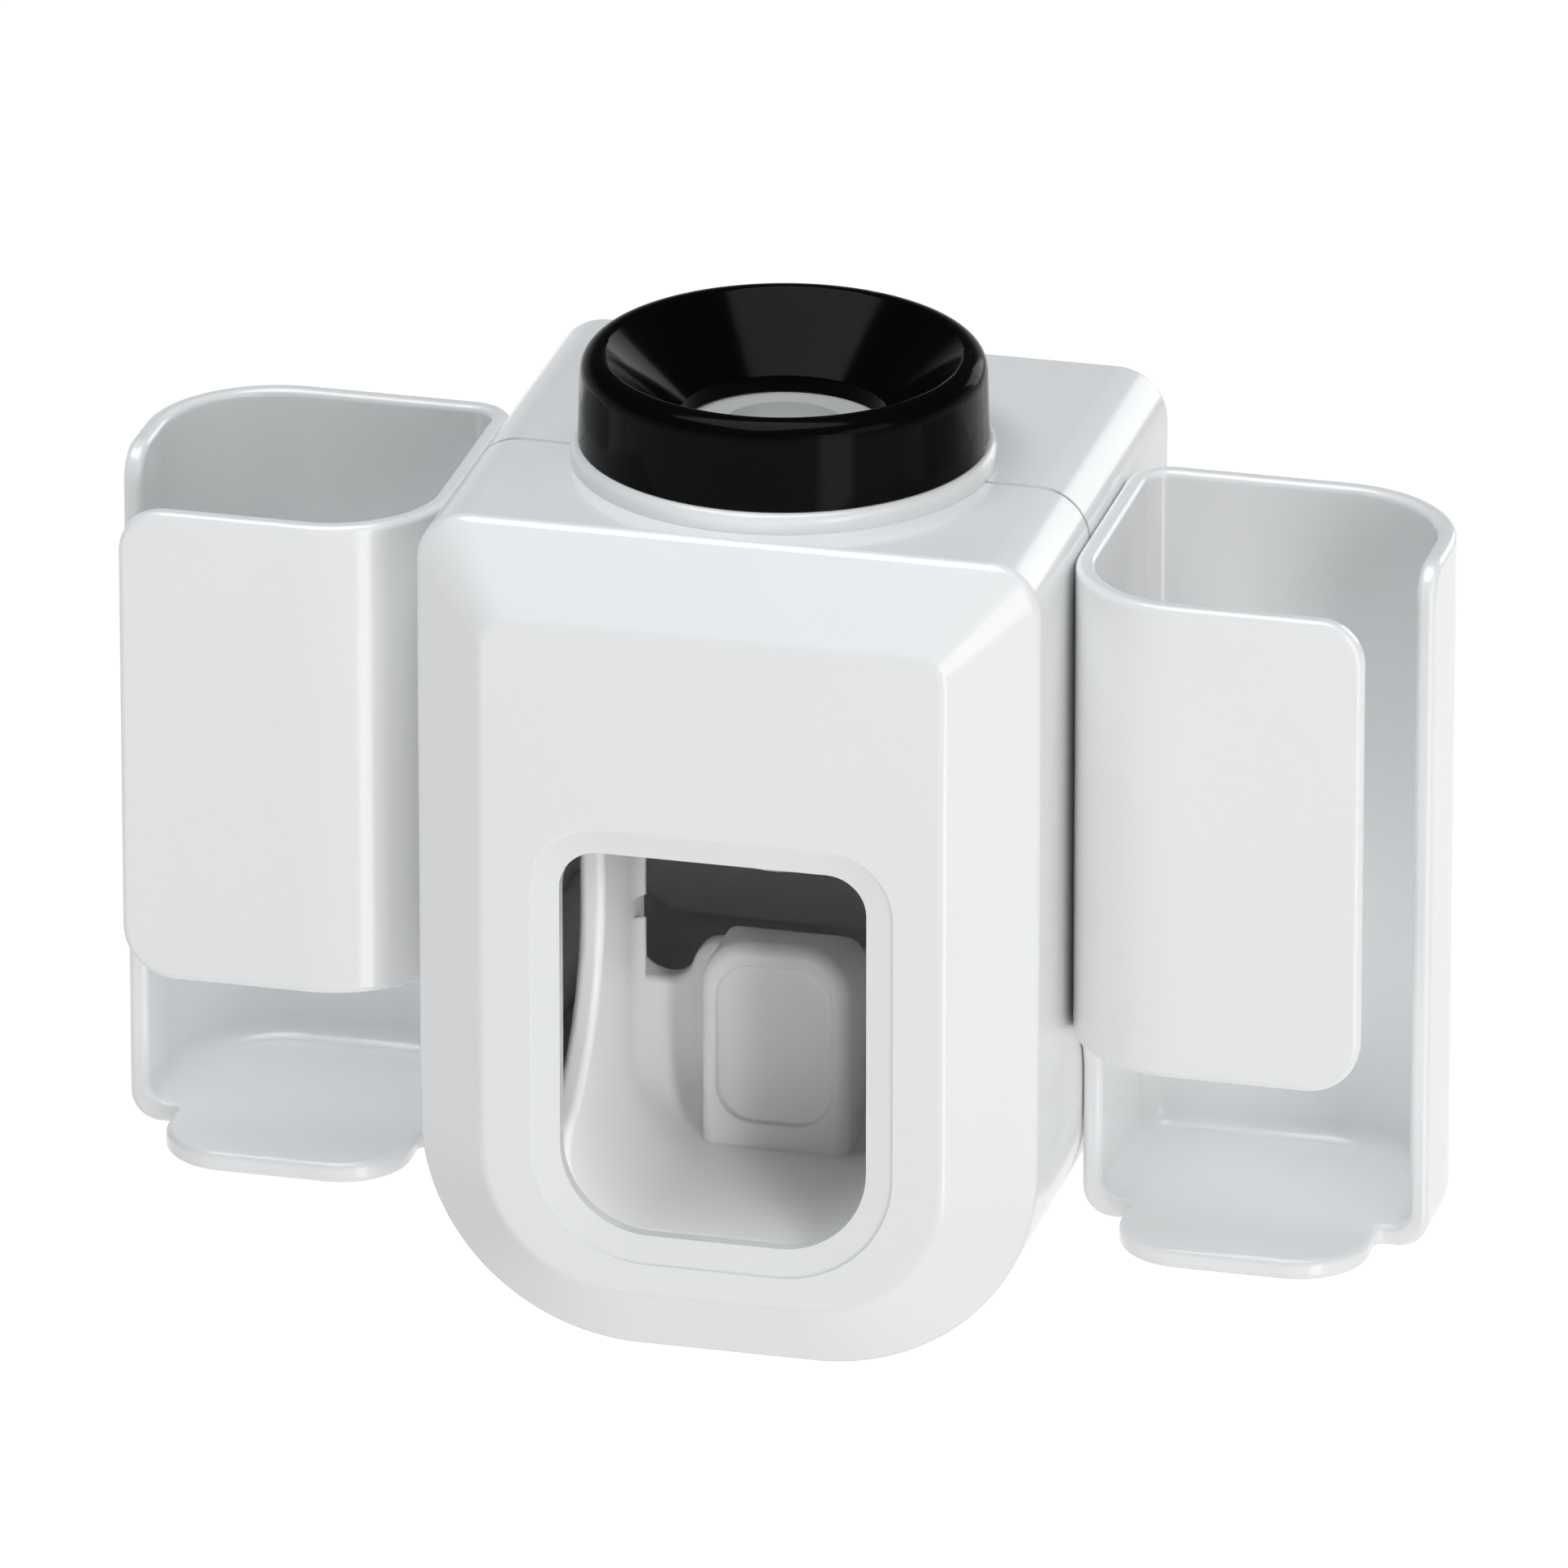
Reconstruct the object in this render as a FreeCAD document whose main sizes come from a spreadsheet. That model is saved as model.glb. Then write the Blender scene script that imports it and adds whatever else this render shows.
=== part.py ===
import FreeCAD, Part
import math
import os

import Sketcher
from FreeCAD import Vector

# A wall-hung toothpaste dispenser with two brush holders.
# X runs to the right as seen from the front, Y runs into the wall and Z runs up.
# The origin is the centre of the adhesive face on the wall.
# Inside this file a depth is measured forward from the casing's back face, so y = -depth,
# and a height is measured up from the casing's lowest point.

doc = FreeCAD.newDocument("toothpaste_dispenser")
sheet = doc.addObject("Spreadsheet::Sheet", "Sizes")

CASING_SIZES = {
    "casing_width": 70.0,
    "casing_height": 96.6,
    "casing_depth": 69.2,
    "casing_wall": 2.4,
    "casing_gap": 1.2,
    "seam_depth": 38.5,
    "seam_groove": 0.2,
    "top_corner_radius": 5.8,
    "bottom_corner_radius": 25.0,
    "bevel_inset": 9.0,
    "bevel_depth": 7.3,
    "flat_corner_radius": 3.0,
    "inner_corner_radius": 1.5,
    "back_edge_radius": 1.5,
    "bevel_edge_radius": 1.5,
    "mount_height": 58.0,
}

WINDOW_SIZES = {
    "window_width": 34.6,
    "window_bottom": 16.0,
    "window_top": 61.0,
    "window_top_radius": 4.5,
    "window_bottom_radius": 10.0,
    "frame_width": 3.2,
    "frame_step": 0.3,
    "frame_drop": 0.9,
}

SCREW_SIZES = {
    "boss_inset": 2.6,
    "boss_low": 27.0,
    "boss_high": 85.0,
    "front_boss_radius": 3.4,
    "front_boss_length": 16.0,
    "rear_boss_radius": 4.1,
    "screw_seat_inset": 12.5,
    "screw_length": 22.0,
    "screw_radius": 1.4,
    "screw_head_radius": 2.7,
    "screw_head_height": 2.0,
    "screw_play": 0.3,
    "screw_grip": 0.05,
    "screw_slot_width": 0.8,
    "screw_slot_depth": 0.9,
}

WALL_FIXING_SIZES = {
    "adhesive_width": 42.0,
    "adhesive_height": 40.0,
    "adhesive_thickness": 1.0,
    "adhesive_corner_radius": 4.0,
    "plate_width": 46.0,
    "plate_height": 44.0,
    "plate_thickness": 2.0,
    "plate_corner_radius": 5.0,
    "plate_play": 0.3,
    "wall_hook_across": 13.0,
    "wall_hook_width": 10.0,
    "wall_hook_neck": 3.0,
    "wall_hook_lip": 5.0,
    "wall_hook_thickness": 2.0,
    "wall_hook_height": 60.0,
    "lift_travel": 6.0,
}

PUMP_SIZES = {
    "pump_depth": 36.5,
    "neck_radius": 15.6,
    "neck_play": 0.3,
    "collar_radius": 23.4,
    "collar_height": 2.3,
    "collar_edge_radius": 1.0,
    "shoulder_radius": 18.4,
    "shoulder_height": 2.2,
    "seat_play": 0.1,
    "spigot_radius": 14.8,
    "spigot_height": 2.6,
    "lug_reach": 2.4,
    "lug_thickness": 1.1,
    "lug_sweep": 40.0,
    "lug_count": 3,
    "seal_pocket_radius": 13.2,
    "seal_pocket_depth": 5.0,
    "web_thickness": 2.5,
    "chamber_radius": 9.2,
    "barrel_wall": 2.2,
    "barrel_bottom": 74.5,
    "flow_hole_radius": 1.3,
    "flow_hole_circle": 3.6,
    "flow_hole_count": 6,
    "cap_skirt": 2.0,
    "cap_skirt_height": 4.5,
    "cap_floor": 2.2,
    "cap_grip": 0.05,
    "spring_radius": 6.6,
    "spring_wire_radius": 0.45,
    "spring_turns": 4,
    "spring_play": 0.1,
}

RING_SIZES = {
    "ring_radius": 22.6,
    "ring_taper": 0.3,
    "ring_height": 10.0,
    "ring_skirt": 2.7,
    "ring_mouth_radius": 19.7,
    "ring_hole_radius": 11.5,
    "ring_hole_rise": 2.7,
    "ring_floor": 2.7,
    "ring_lip": 1.8,
    "ring_lug_play": 0.6,
    "ring_outer_edge_radius": 2.2,
    "ring_inner_edge_radius": 0.8,
}

SEAL_SIZES = {
    "seal_play": 0.2,
    "seal_top": 2.0,
    "seal_outer_wall": 1.6,
    "tube_bore_radius": 5.0,
    "tube_bore_wall": 2.0,
    "tube_bore_length": 6.0,
    "tube_stop_radius": 4.2,
    "tube_stop_height": 1.8,
    "bead_radius": 7.2,
    "bead_width": 1.8,
    "bead_crown": 0.9,
    "bead_height": 0.8,
    "valve_disc_radius": 7.6,
    "valve_disc_thickness": 1.0,
    "valve_stem_radius": 1.4,
    "valve_bulb_radius": 2.2,
    "valve_bulb_height": 1.4,
    "valve_play": 0.05,
}

PISTON_SIZES = {
    "stem_radius": 4.5,
    "stem_bore_radius": 2.3,
    "stem_bottom": 51.6,
    "stem_play": 0.05,
    "stem_tip_radius": 3.3,
    "stem_tip_length": 3.4,
    "lift_flange_radius": 11.0,
    "lift_flange_height": 2.2,
    "piston_radius": 8.95,
    "piston_height": 5.4,
    "piston_rest_gap": 0.3,
    "ring_groove_width": 2.4,
    "ring_groove_depth": 1.9,
    "o_ring_radius": 1.05,
    "o_ring_play": 0.05,
    "nozzle_wall": 1.8,
    "nozzle_skirt_height": 4.0,
    "nozzle_floor": 1.0,
    "nozzle_hole_radius": 2.9,
    "duckbill_flange_radius": 4.3,
    "duckbill_flange_height": 1.1,
    "duckbill_radius": 2.7,
    "duckbill_tip_radius": 1.5,
    "duckbill_length": 2.4,
    "duckbill_slit": 0.2,
}

LEVER_SIZES = {
    "lever_width": 40.0,
    "lever_wall": 2.8,
    "lever_bottom": 13.3,
    "lever_floor": 2.3,
    "lever_top": 67.5,
    "lever_front_play": 0.5,
    "lever_back": 29.5,
    "lever_back_wall": 3.0,
    "lever_corner_radius": 9.0,
    "lever_bowl_radius": 5.0,
    "lever_edge_radius": 0.9,
    "arm_inset": 2.4,
    "arm_corner_radius": 4.0,
    "cheek_high": 47.0,
    "cheek_upper_radius": 23.0,
    "cheek_lower_radius": 8.0,
    "hub_low": 54.0,
    "hub_reach": 5.0,
    "pivot_inset": 17.2,
    "pivot_height": 62.0,
    "hub_radius": 4.6,
    "hub_length": 1.7,
    "hub_play": 0.3,
    "pin_radius": 1.5,
    "pin_play": 0.05,
    "pin_grip": 0.01,
    "pin_depth": 8.0,
    "finger_height": 57.0,
    "finger_radius": 1.6,
    "finger_inner": 8.2,
    "finger_play": 0.05,
    "valley_across": 14.3,
    "valley_height": 31.4,
    "crest_height": 36.5,
    "crest_shoulder_radius": 4.0,
    "crest_edge_radius": 0.9,
    "pad_width": 16.8,
    "pad_reach": 8.5,
    "pad_height": 40.0,
    "pad_corner_radius": 5.5,
    "pad_embed": 0.7,
    "pad_ridge": 3.0,
    "pad_fall": 6.0,
    "pad_edge_radius": 1.5,
    "panel_width": 13.2,
    "panel_bottom": 18.6,
    "panel_top": 37.4,
    "panel_corner_radius": 4.2,
    "panel_recess": 0.6,
}

HOLDER_SIZES = {
    "holder_gap": 0.1,
    "holder_reach": 39.2,
    "holder_back": 16.6,
    "holder_front": 58.0,
    "holder_top": 91.8,
    "holder_wall": 2.2,
    "holder_bottom": 11.4,
    "holder_floor": 2.4,
    "holder_front_inner_radius": 14.0,
    "holder_back_inner_radius": 5.0,
    "holder_back_outer_radius": 15.0,
    "front_wall_bottom": 36.3,
    "front_wall_reach": 35.0,
    "front_wall_top_radius": 5.0,
    "front_wall_bottom_radius": 6.0,
    "side_wall_front": 41.0,
    "side_wall_top_radius": 4.0,
    "holder_foot_radius": 3.5,
    "holder_bowl_radius": 2.0,
    "cutaway_radius": 8.0,
    "tongue_start": 5.5,
    "tongue_width": 28.1,
    "tongue_front": 53.0,
    "tongue_corner_radius": 8.0,
    "holder_rim_radius": 0.8,
    "holder_hook_inset": 7.5,
    "holder_hook_width": 7.0,
    "holder_hook_neck": 3.0,
    "holder_hook_lip": 5.0,
    "holder_hook_thickness": 2.0,
    "holder_hook_low": 38.0,
    "holder_hook_high": 68.0,
    "hook_play": 0.3,
}

MAKING_SIZES = {
    "overrun": 2.0,
    "hair": 0.01,
}

SIZES = {}
for group in (CASING_SIZES, WINDOW_SIZES, SCREW_SIZES, WALL_FIXING_SIZES, PUMP_SIZES, RING_SIZES,
              SEAL_SIZES, PISTON_SIZES, LEVER_SIZES, HOLDER_SIZES, MAKING_SIZES):
    SIZES.update(group)

for row, (alias, number) in enumerate(SIZES.items(), start=1):
    sheet.set(f"A{row}", alias.replace("_", " "))
    sheet.set(f"B{row}", str(number))
    sheet.setAlias(f"B{row}", alias)
doc.recompute()


class Size:
    """A size from the sheet, or a sum worked out from several, kept as an expression."""

    def __init__(self, text):
        self.text = str(text)

    def __float__(self):
        number = sheet.evalExpression(self.text)
        return float(getattr(number, "Value", number))

    def __add__(self, other):
        return Size(f"({self.text} + {Size.words(other)})")

    def __radd__(self, other):
        return Size(f"({Size.words(other)} + {self.text})")

    def __sub__(self, other):
        return Size(f"({self.text} - {Size.words(other)})")

    def __rsub__(self, other):
        return Size(f"({Size.words(other)} - {self.text})")

    def __mul__(self, other):
        return Size(f"({self.text} * {Size.words(other)})")

    def __truediv__(self, other):
        return Size(f"({self.text} / {Size.words(other)})")

    def __neg__(self):
        return Size(f"(-1 * {self.text})")

    @staticmethod
    def words(other):
        return other.text if isinstance(other, Size) else str(other)

    @staticmethod
    def of(function, other):
        return Size(f"{function}({Size.words(other)})")


class SizeBook:
    """Gives each size of the sheet by its alias."""

    def __getattr__(self, alias):
        if alias not in SIZES:
            raise AttributeError(alias)
        return Size(f"Sizes.{alias}")


mm = SizeBook()
ZERO = Size("0")
PLANES = {"front": "XZ_Plane", "side": "YZ_Plane", "top": "XY_Plane"}


# Helpers for bodies, sketches and features

def bind(thing, prop, size):
    thing.setExpression(prop, Size.words(size))


def new_body(label, x=ZERO, depth=ZERO, height=ZERO):
    """A body whose own zero lies at this place of the casing."""
    made = doc.addObject("PartDesign::Body", label)
    made.Label = label
    bind(made, "Placement.Base.x", x)
    bind(made, "Placement.Base.y", -(mm.casing_gap + depth))
    bind(made, "Placement.Base.z", height - mm.mount_height)
    return made


def new_sketch(body, plane, offset=ZERO):
    """A sketch on one of the body's own planes, moved along the plane's normal."""
    made = body.newObject("Sketcher::SketchObject", f"{body.Name}_{plane}_sketch")
    roles = {feature.Role: feature for feature in body.Origin.OriginFeatures}
    made.AttachmentSupport = [(roles[PLANES[plane]], "")]
    made.MapMode = "FlatFace"
    bind(made, "AttachmentOffset.Base.z", offset)
    return made


def pin_point(sketch, geometry, position, x, y):
    """Holds one point of a sketch at two sizes."""
    for kind, axis, size in (("DistanceX", -2, x), ("DistanceY", -1, y)):
        if size is ZERO:
            sketch.addConstraint(Sketcher.Constraint("PointOnObject", geometry, position, axis))
            continue
        index = sketch.addConstraint(Sketcher.Constraint(kind, geometry, position, float(size)))
        bind(sketch, f"Constraints[{index}]", size)


def add_circle(sketch, x, y, radius):
    place = Vector(float(x), float(y), 0)
    geometry = sketch.addGeometry(Part.Circle(place, Vector(0, 0, 1), float(radius)))
    pin_point(sketch, geometry, 3, x, y)
    index = sketch.addConstraint(Sketcher.Constraint("Radius", geometry, float(radius)))
    bind(sketch, f"Constraints[{index}]", radius)


def arc_between(start, end, radius, turn):
    """The shorter arc from start to end; turn is 1 for a left-hand bend and -1 for a right-hand one."""
    chord = end - start
    half = chord.Length / 2
    rise = math.sqrt(max(radius * radius - half * half, 0))
    left = Vector(-chord.y, chord.x, 0).normalize()
    centre = (start + end) * 0.5 + left * (rise * turn)
    first, last = (start, end) if turn > 0 else (end, start)
    angles = [math.atan2(point.y - centre.y, point.x - centre.x) for point in (first, last)]
    circle = Part.Circle(centre, Vector(0, 0, 1), radius)
    return Part.ArcOfCircle(circle, angles[0], angles[1])


def add_outline(sketch, steps):
    """A closed path; each step is (x, y), or (x, y, radius, turn) for a round stretch that ends there."""
    points = [Vector(float(step[0]), float(step[1]), 0) for step in steps]
    segments = []
    for number, step in enumerate(steps):
        start = points[number - 1]
        end = points[number]
        if len(step) == 2:
            geometry = sketch.addGeometry(Part.LineSegment(start, end))
            segments.append((geometry, 1, 2))
            continue
        geometry = sketch.addGeometry(arc_between(start, end, float(step[2]), step[3]))
        segments.append((geometry, 1, 2) if step[3] > 0 else (geometry, 2, 1))
    for number, step in enumerate(steps):
        geometry, first, last = segments[number]
        following, following_first, _ = segments[(number + 1) % len(steps)]
        sketch.addConstraint(Sketcher.Constraint("Coincident", geometry, last, following, following_first))
        pin_point(sketch, geometry, last, step[0], step[1])
        if len(step) > 2:
            index = sketch.addConstraint(Sketcher.Constraint("Radius", geometry, float(step[2])))
            bind(sketch, f"Constraints[{index}]", step[2])


def add_rounded_box(sketch, left, right, low, high, radii=(ZERO, ZERO, ZERO, ZERO)):
    """A box with its own radius at each corner: low left, low right, high right, high left."""
    low_left, low_right, high_right, high_left = radii
    steps = [(right - low_right, low)]
    if low_right is not ZERO:
        steps.append((right, low + low_right, low_right, 1))
    steps.append((right, high - high_right))
    if high_right is not ZERO:
        steps.append((right - high_right, high, high_right, 1))
    steps.append((left + high_left, high))
    if high_left is not ZERO:
        steps.append((left, high - high_left, high_left, 1))
    steps.append((left, low + low_left))
    if low_left is not ZERO:
        steps.append((left + low_left, low, low_left, 1))
    add_outline(sketch, steps)


def grow(body, kind, settle):
    """Adds a feature to a body, recomputes it and checks that the solid really changed."""
    before = body.Tip.Shape.Volume if body.Tip and not body.Tip.Shape.isNull() else 0.0
    feature = body.newObject(f"PartDesign::{kind}", f"{body.Name}_{kind}")
    settle(feature)
    doc.recompute()
    if "Invalid" in feature.State or "Error" in feature.State or feature.Shape.isNull():
        raise RuntimeError(f"{feature.Name}: {feature.State}")
    change = feature.Shape.Volume - before
    if abs(change) < float(mm.hair):
        raise RuntimeError(f"{feature.Name} changed nothing")
    if kind in ("Pocket", "Groove", "SubtractiveLoft") and change > 0:
        raise RuntimeError(f"{feature.Name} added material")
    return feature


def pad(body, sketch, length, back=False, both=False):
    def settle(feature):
        feature.Profile = sketch
        feature.Reversed = back
        feature.SideType = "Symmetric" if both else "One side"
        bind(feature, "Length", length)
    return grow(body, "Pad", settle)


def pocket(body, sketch, length, forward=False, both=False):
    def settle(feature):
        feature.Profile = sketch
        feature.Reversed = forward
        feature.SideType = "Symmetric" if both else "One side"
        bind(feature, "Length", length)
    return grow(body, "Pocket", settle)


def loft(body, first, last, cut=False):
    def settle(feature):
        feature.Profile = first
        feature.Sections = [last]
        feature.Ruled = True
    return grow(body, "SubtractiveLoft" if cut else "AdditiveLoft", settle)


def turn_about_axis(body, sketch):
    def settle(feature):
        feature.Profile = sketch
        feature.ReferenceAxis = (sketch, ["V_Axis"])
        feature.Angle = 360
    return grow(body, "Revolution", settle)


def mirror_sideways(body, features):
    roles = {feature.Role: feature for feature in body.Origin.OriginFeatures}

    def settle(feature):
        feature.Originals = features
        feature.MirrorPlane = (roles["YZ_Plane"], [""])
        body.Tip = feature
    return grow(body, "Mirrored", settle)


def repeat_round(body, features, count):
    roles = {feature.Role: feature for feature in body.Origin.OriginFeatures}

    def settle(feature):
        feature.Originals = features
        feature.Axis = (roles["Z_Axis"], [""])
        feature.Angle = 360
        bind(feature, "Occurrences", count)
        body.Tip = feature
    return grow(body, "PolarPattern", settle)


def same(one, other):
    return abs(float(one) - float(other)) < float(mm.hair)


def round_edges(body, radius, chosen, kind="Fillet", prop="Radius"):
    """Rounds each edge of the body's newest shape that the test chooses."""
    base = body.Tip
    names = [f"Edge{n}" for n, edge in enumerate(base.Shape.Edges, start=1) if chosen(edge)]
    if not names:
        raise RuntimeError(f"{body.Name}: no edge chosen")

    def settle(feature):
        feature.Base = (base, names)
        bind(feature, prop, radius)
    return grow(body, kind, settle)


def lies_at(edge, **places):
    """True where the whole edge lies at the given x, depth or height."""
    box = edge.BoundBox
    spans = {"x": (box.XMin, box.XMax), "depth": (-box.YMax, -box.YMin), "height": (box.ZMin, box.ZMax)}
    return all(same(spans[name][0], place) and same(spans[name][1], place) for name, place in places.items())


# Casing: a boxed shell with a bevelled front, split just in front of the pump's axis

half_width = mm.casing_width / 2
bevel_start = mm.casing_depth - mm.bevel_depth
pivot_depth = mm.casing_depth - mm.pivot_inset
side_turn = Size.of("atan", mm.bevel_inset / mm.bevel_depth)
front_turn = Size.of("atan", mm.bevel_depth / mm.bevel_inset)
inner_bevel_start = bevel_start - mm.casing_wall * Size.of("tan", side_turn / 2)
inner_bevel_inset = mm.bevel_inset + mm.casing_wall * Size.of("tan", front_turn / 2)
boss_across = half_width - mm.casing_wall - mm.boss_inset
neck_hole_radius = mm.neck_radius + mm.neck_play
screw_seat_depth = mm.seam_depth - mm.screw_seat_inset
holder_hook_depth = mm.seam_depth - mm.holder_hook_inset
BOSS_PLACES = [(side * boss_across, height) for height in (mm.boss_low, mm.boss_high)
               for side in (Size("1"), Size("-1"))]


def casing_outline(sketch, inset, top_radius, bottom_radius):
    add_rounded_box(sketch, inset - half_width, half_width - inset, inset, mm.casing_height - inset,
                    (bottom_radius, bottom_radius, top_radius, top_radius))


def cut_neck_hole(body):
    hole = new_sketch(body, "top", mm.casing_height)
    add_circle(hole, ZERO, -mm.pump_depth, neck_hole_radius)
    pocket(body, hole, mm.casing_wall + mm.overrun)


def cut_seam_groove(body):
    """Breaks the outer edge at the seam, so that the two shells meet in a fine groove."""
    round_edges(body, mm.seam_groove, lambda edge: lies_at(edge, depth=mm.seam_depth), "Chamfer", "Size")


def make_front_casing():
    body = new_body("front_casing")
    at_seam = new_sketch(body, "front", mm.seam_depth)
    casing_outline(at_seam, ZERO, mm.top_corner_radius, mm.bottom_corner_radius)
    pad(body, at_seam, bevel_start - mm.seam_depth)
    cut_seam_groove(body)

    at_bevel = new_sketch(body, "front", bevel_start)
    casing_outline(at_bevel, ZERO, mm.top_corner_radius, mm.bottom_corner_radius)
    at_front = new_sketch(body, "front", mm.casing_depth)
    casing_outline(at_front, mm.bevel_inset, mm.flat_corner_radius, mm.bottom_corner_radius - mm.bevel_inset)
    loft(body, at_bevel, at_front)
    round_edges(body, mm.bevel_edge_radius,
                lambda edge: lies_at(edge, depth=bevel_start) or lies_at(edge, depth=mm.casing_depth))

    inner_top = mm.top_corner_radius - mm.casing_wall
    inner_bottom = mm.bottom_corner_radius - mm.casing_wall
    inner_seam = new_sketch(body, "front", mm.seam_depth)
    casing_outline(inner_seam, mm.casing_wall, inner_top, inner_bottom)
    pocket(body, inner_seam, inner_bevel_start - mm.seam_depth, forward=True)
    inner_bevel = new_sketch(body, "front", inner_bevel_start)
    casing_outline(inner_bevel, mm.casing_wall, inner_top, inner_bottom)
    inner_front = new_sketch(body, "front", mm.casing_depth - mm.casing_wall)
    casing_outline(inner_front, inner_bevel_inset, mm.inner_corner_radius,
                   mm.bottom_corner_radius - inner_bevel_inset)
    loft(body, inner_bevel, inner_front, cut=True)

    add_window(body)
    cut_neck_hole(body)
    add_front_bosses(body)
    add_lever_bearings(body)
    return body


def window_outline(sketch, margin):
    half = mm.window_width / 2 + margin
    low = mm.window_bottom_radius + margin
    high = mm.window_top_radius + margin
    add_rounded_box(sketch, -half, half, mm.window_bottom - margin, mm.window_top + margin,
                    (low, low, high, high))


def add_window(body):
    """The brush window, with a shallow frame that slopes down to its edge."""
    step = new_sketch(body, "front", mm.casing_depth)
    window_outline(step, mm.frame_width)
    pocket(body, step, mm.frame_step)
    rim = new_sketch(body, "front", mm.casing_depth - mm.frame_step)
    window_outline(rim, mm.frame_width)
    edge = new_sketch(body, "front", mm.casing_depth - mm.frame_drop)
    window_outline(edge, ZERO)
    loft(body, rim, edge, cut=True)
    opening = new_sketch(body, "front", mm.casing_depth)
    window_outline(opening, ZERO)
    pocket(body, opening, mm.casing_wall + mm.overrun)


def add_front_bosses(body):
    posts = new_sketch(body, "front", mm.seam_depth)
    for across, height in BOSS_PLACES:
        add_circle(posts, across, height, mm.front_boss_radius)
    pad(body, posts, mm.front_boss_length)
    holes = new_sketch(body, "front", mm.seam_depth)
    for across, height in BOSS_PLACES:
        add_circle(holes, across, height, mm.screw_radius + mm.screw_grip)
    reach = screw_seat_depth + mm.screw_length - mm.seam_depth
    pocket(body, holes, reach + mm.screw_play, forward=True)


def add_lever_bearings(body):
    """A round boss on each side wall, bored for the lever's pin."""
    bearing_start = mm.lever_width / 2 + mm.hub_length + mm.hub_play
    bearing_end = half_width - mm.casing_wall / 2
    boss = new_sketch(body, "side", bearing_start)
    add_circle(boss, -pivot_depth, mm.pivot_height, mm.hub_radius)
    made = pad(body, boss, bearing_end - bearing_start)
    bore = new_sketch(body, "side", bearing_start)
    add_circle(bore, -pivot_depth, mm.pivot_height, mm.pin_radius + mm.pin_grip)
    drilled = pocket(body, bore, mm.pin_depth + mm.screw_play, forward=True)
    mirror_sideways(body, [made, drilled])


plate_front = mm.adhesive_thickness + mm.plate_thickness - mm.casing_gap
recess_depth = plate_front + mm.plate_play
hook_wall_front = recess_depth + mm.casing_wall
wall_hook_top = mm.wall_hook_height + mm.wall_hook_neck


def make_rear_casing():
    body = new_body("rear_casing")
    at_back = new_sketch(body, "front")
    casing_outline(at_back, ZERO, mm.top_corner_radius, mm.bottom_corner_radius)
    pad(body, at_back, mm.seam_depth)
    cut_seam_groove(body)
    round_edges(body, mm.back_edge_radius, lambda edge: lies_at(edge, depth=ZERO))
    inside = new_sketch(body, "front", mm.seam_depth)
    casing_outline(inside, mm.casing_wall, mm.top_corner_radius - mm.casing_wall,
                   mm.bottom_corner_radius - mm.casing_wall)
    pocket(body, inside, mm.seam_depth - mm.casing_wall)

    add_plate_recess(body)
    cut_neck_hole(body)
    add_rear_bosses(body)
    cut_holder_slots(body)
    return body


def recess_outline(sketch, margin):
    half = mm.plate_width / 2 + mm.plate_play + margin
    low = mm.mount_height - mm.plate_height / 2 - mm.lift_travel - mm.plate_play - margin
    high = mm.mount_height + mm.plate_height / 2 + mm.plate_play + margin
    radius = mm.plate_corner_radius + margin
    add_rounded_box(sketch, -half, half, low, high, (radius, radius, radius, radius))


def add_plate_recess(body):
    """The sunk panel that takes the wall plate, with two slots for its hooks."""
    raised = new_sketch(body, "front", mm.casing_wall / 2)
    recess_outline(raised, mm.casing_wall)
    pad(body, raised, hook_wall_front - mm.casing_wall / 2)
    sunk = new_sketch(body, "front")
    recess_outline(sunk, ZERO)
    pocket(body, sunk, recess_depth, forward=True)
    slots = new_sketch(body, "front")
    half = mm.wall_hook_width / 2 + mm.plate_play
    slot_low = mm.wall_hook_height - mm.lift_travel - mm.plate_play
    for side in (Size("1"), Size("-1")):
        centre = side * mm.wall_hook_across
        add_rounded_box(slots, centre - half, centre + half, slot_low, wall_hook_top + mm.seat_play / 2)
    pocket(body, slots, hook_wall_front + mm.overrun, forward=True)


def add_rear_bosses(body):
    posts = new_sketch(body, "front", mm.casing_wall / 2)
    for across, height in BOSS_PLACES:
        add_circle(posts, across, height, mm.rear_boss_radius)
    pad(body, posts, mm.seam_depth - mm.casing_wall / 2)
    wells = new_sketch(body, "front")
    holes = new_sketch(body, "front")
    for across, height in BOSS_PLACES:
        add_circle(wells, across, height, mm.screw_head_radius + mm.screw_play)
        add_circle(holes, across, height, mm.screw_radius + mm.screw_play)
    pocket(body, wells, screw_seat_depth, forward=True)
    pocket(body, holes, mm.seam_depth + mm.overrun, forward=True)


def cut_holder_slots(body):
    """Two slots in each side wall, which the holders' hooks drop into."""
    slots = new_sketch(body, "side")
    near = -(holder_hook_depth + mm.holder_hook_width / 2 + mm.hook_play)
    far = -(holder_hook_depth - mm.holder_hook_width / 2 - mm.hook_play)
    for low in (mm.holder_hook_low, mm.holder_hook_high):
        high = low + mm.holder_hook_neck + mm.lift_travel + mm.hook_play
        add_rounded_box(slots, near, far, low - mm.seat_play / 2, high)
    pocket(body, slots, mm.casing_width + mm.overrun, both=True)


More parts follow.
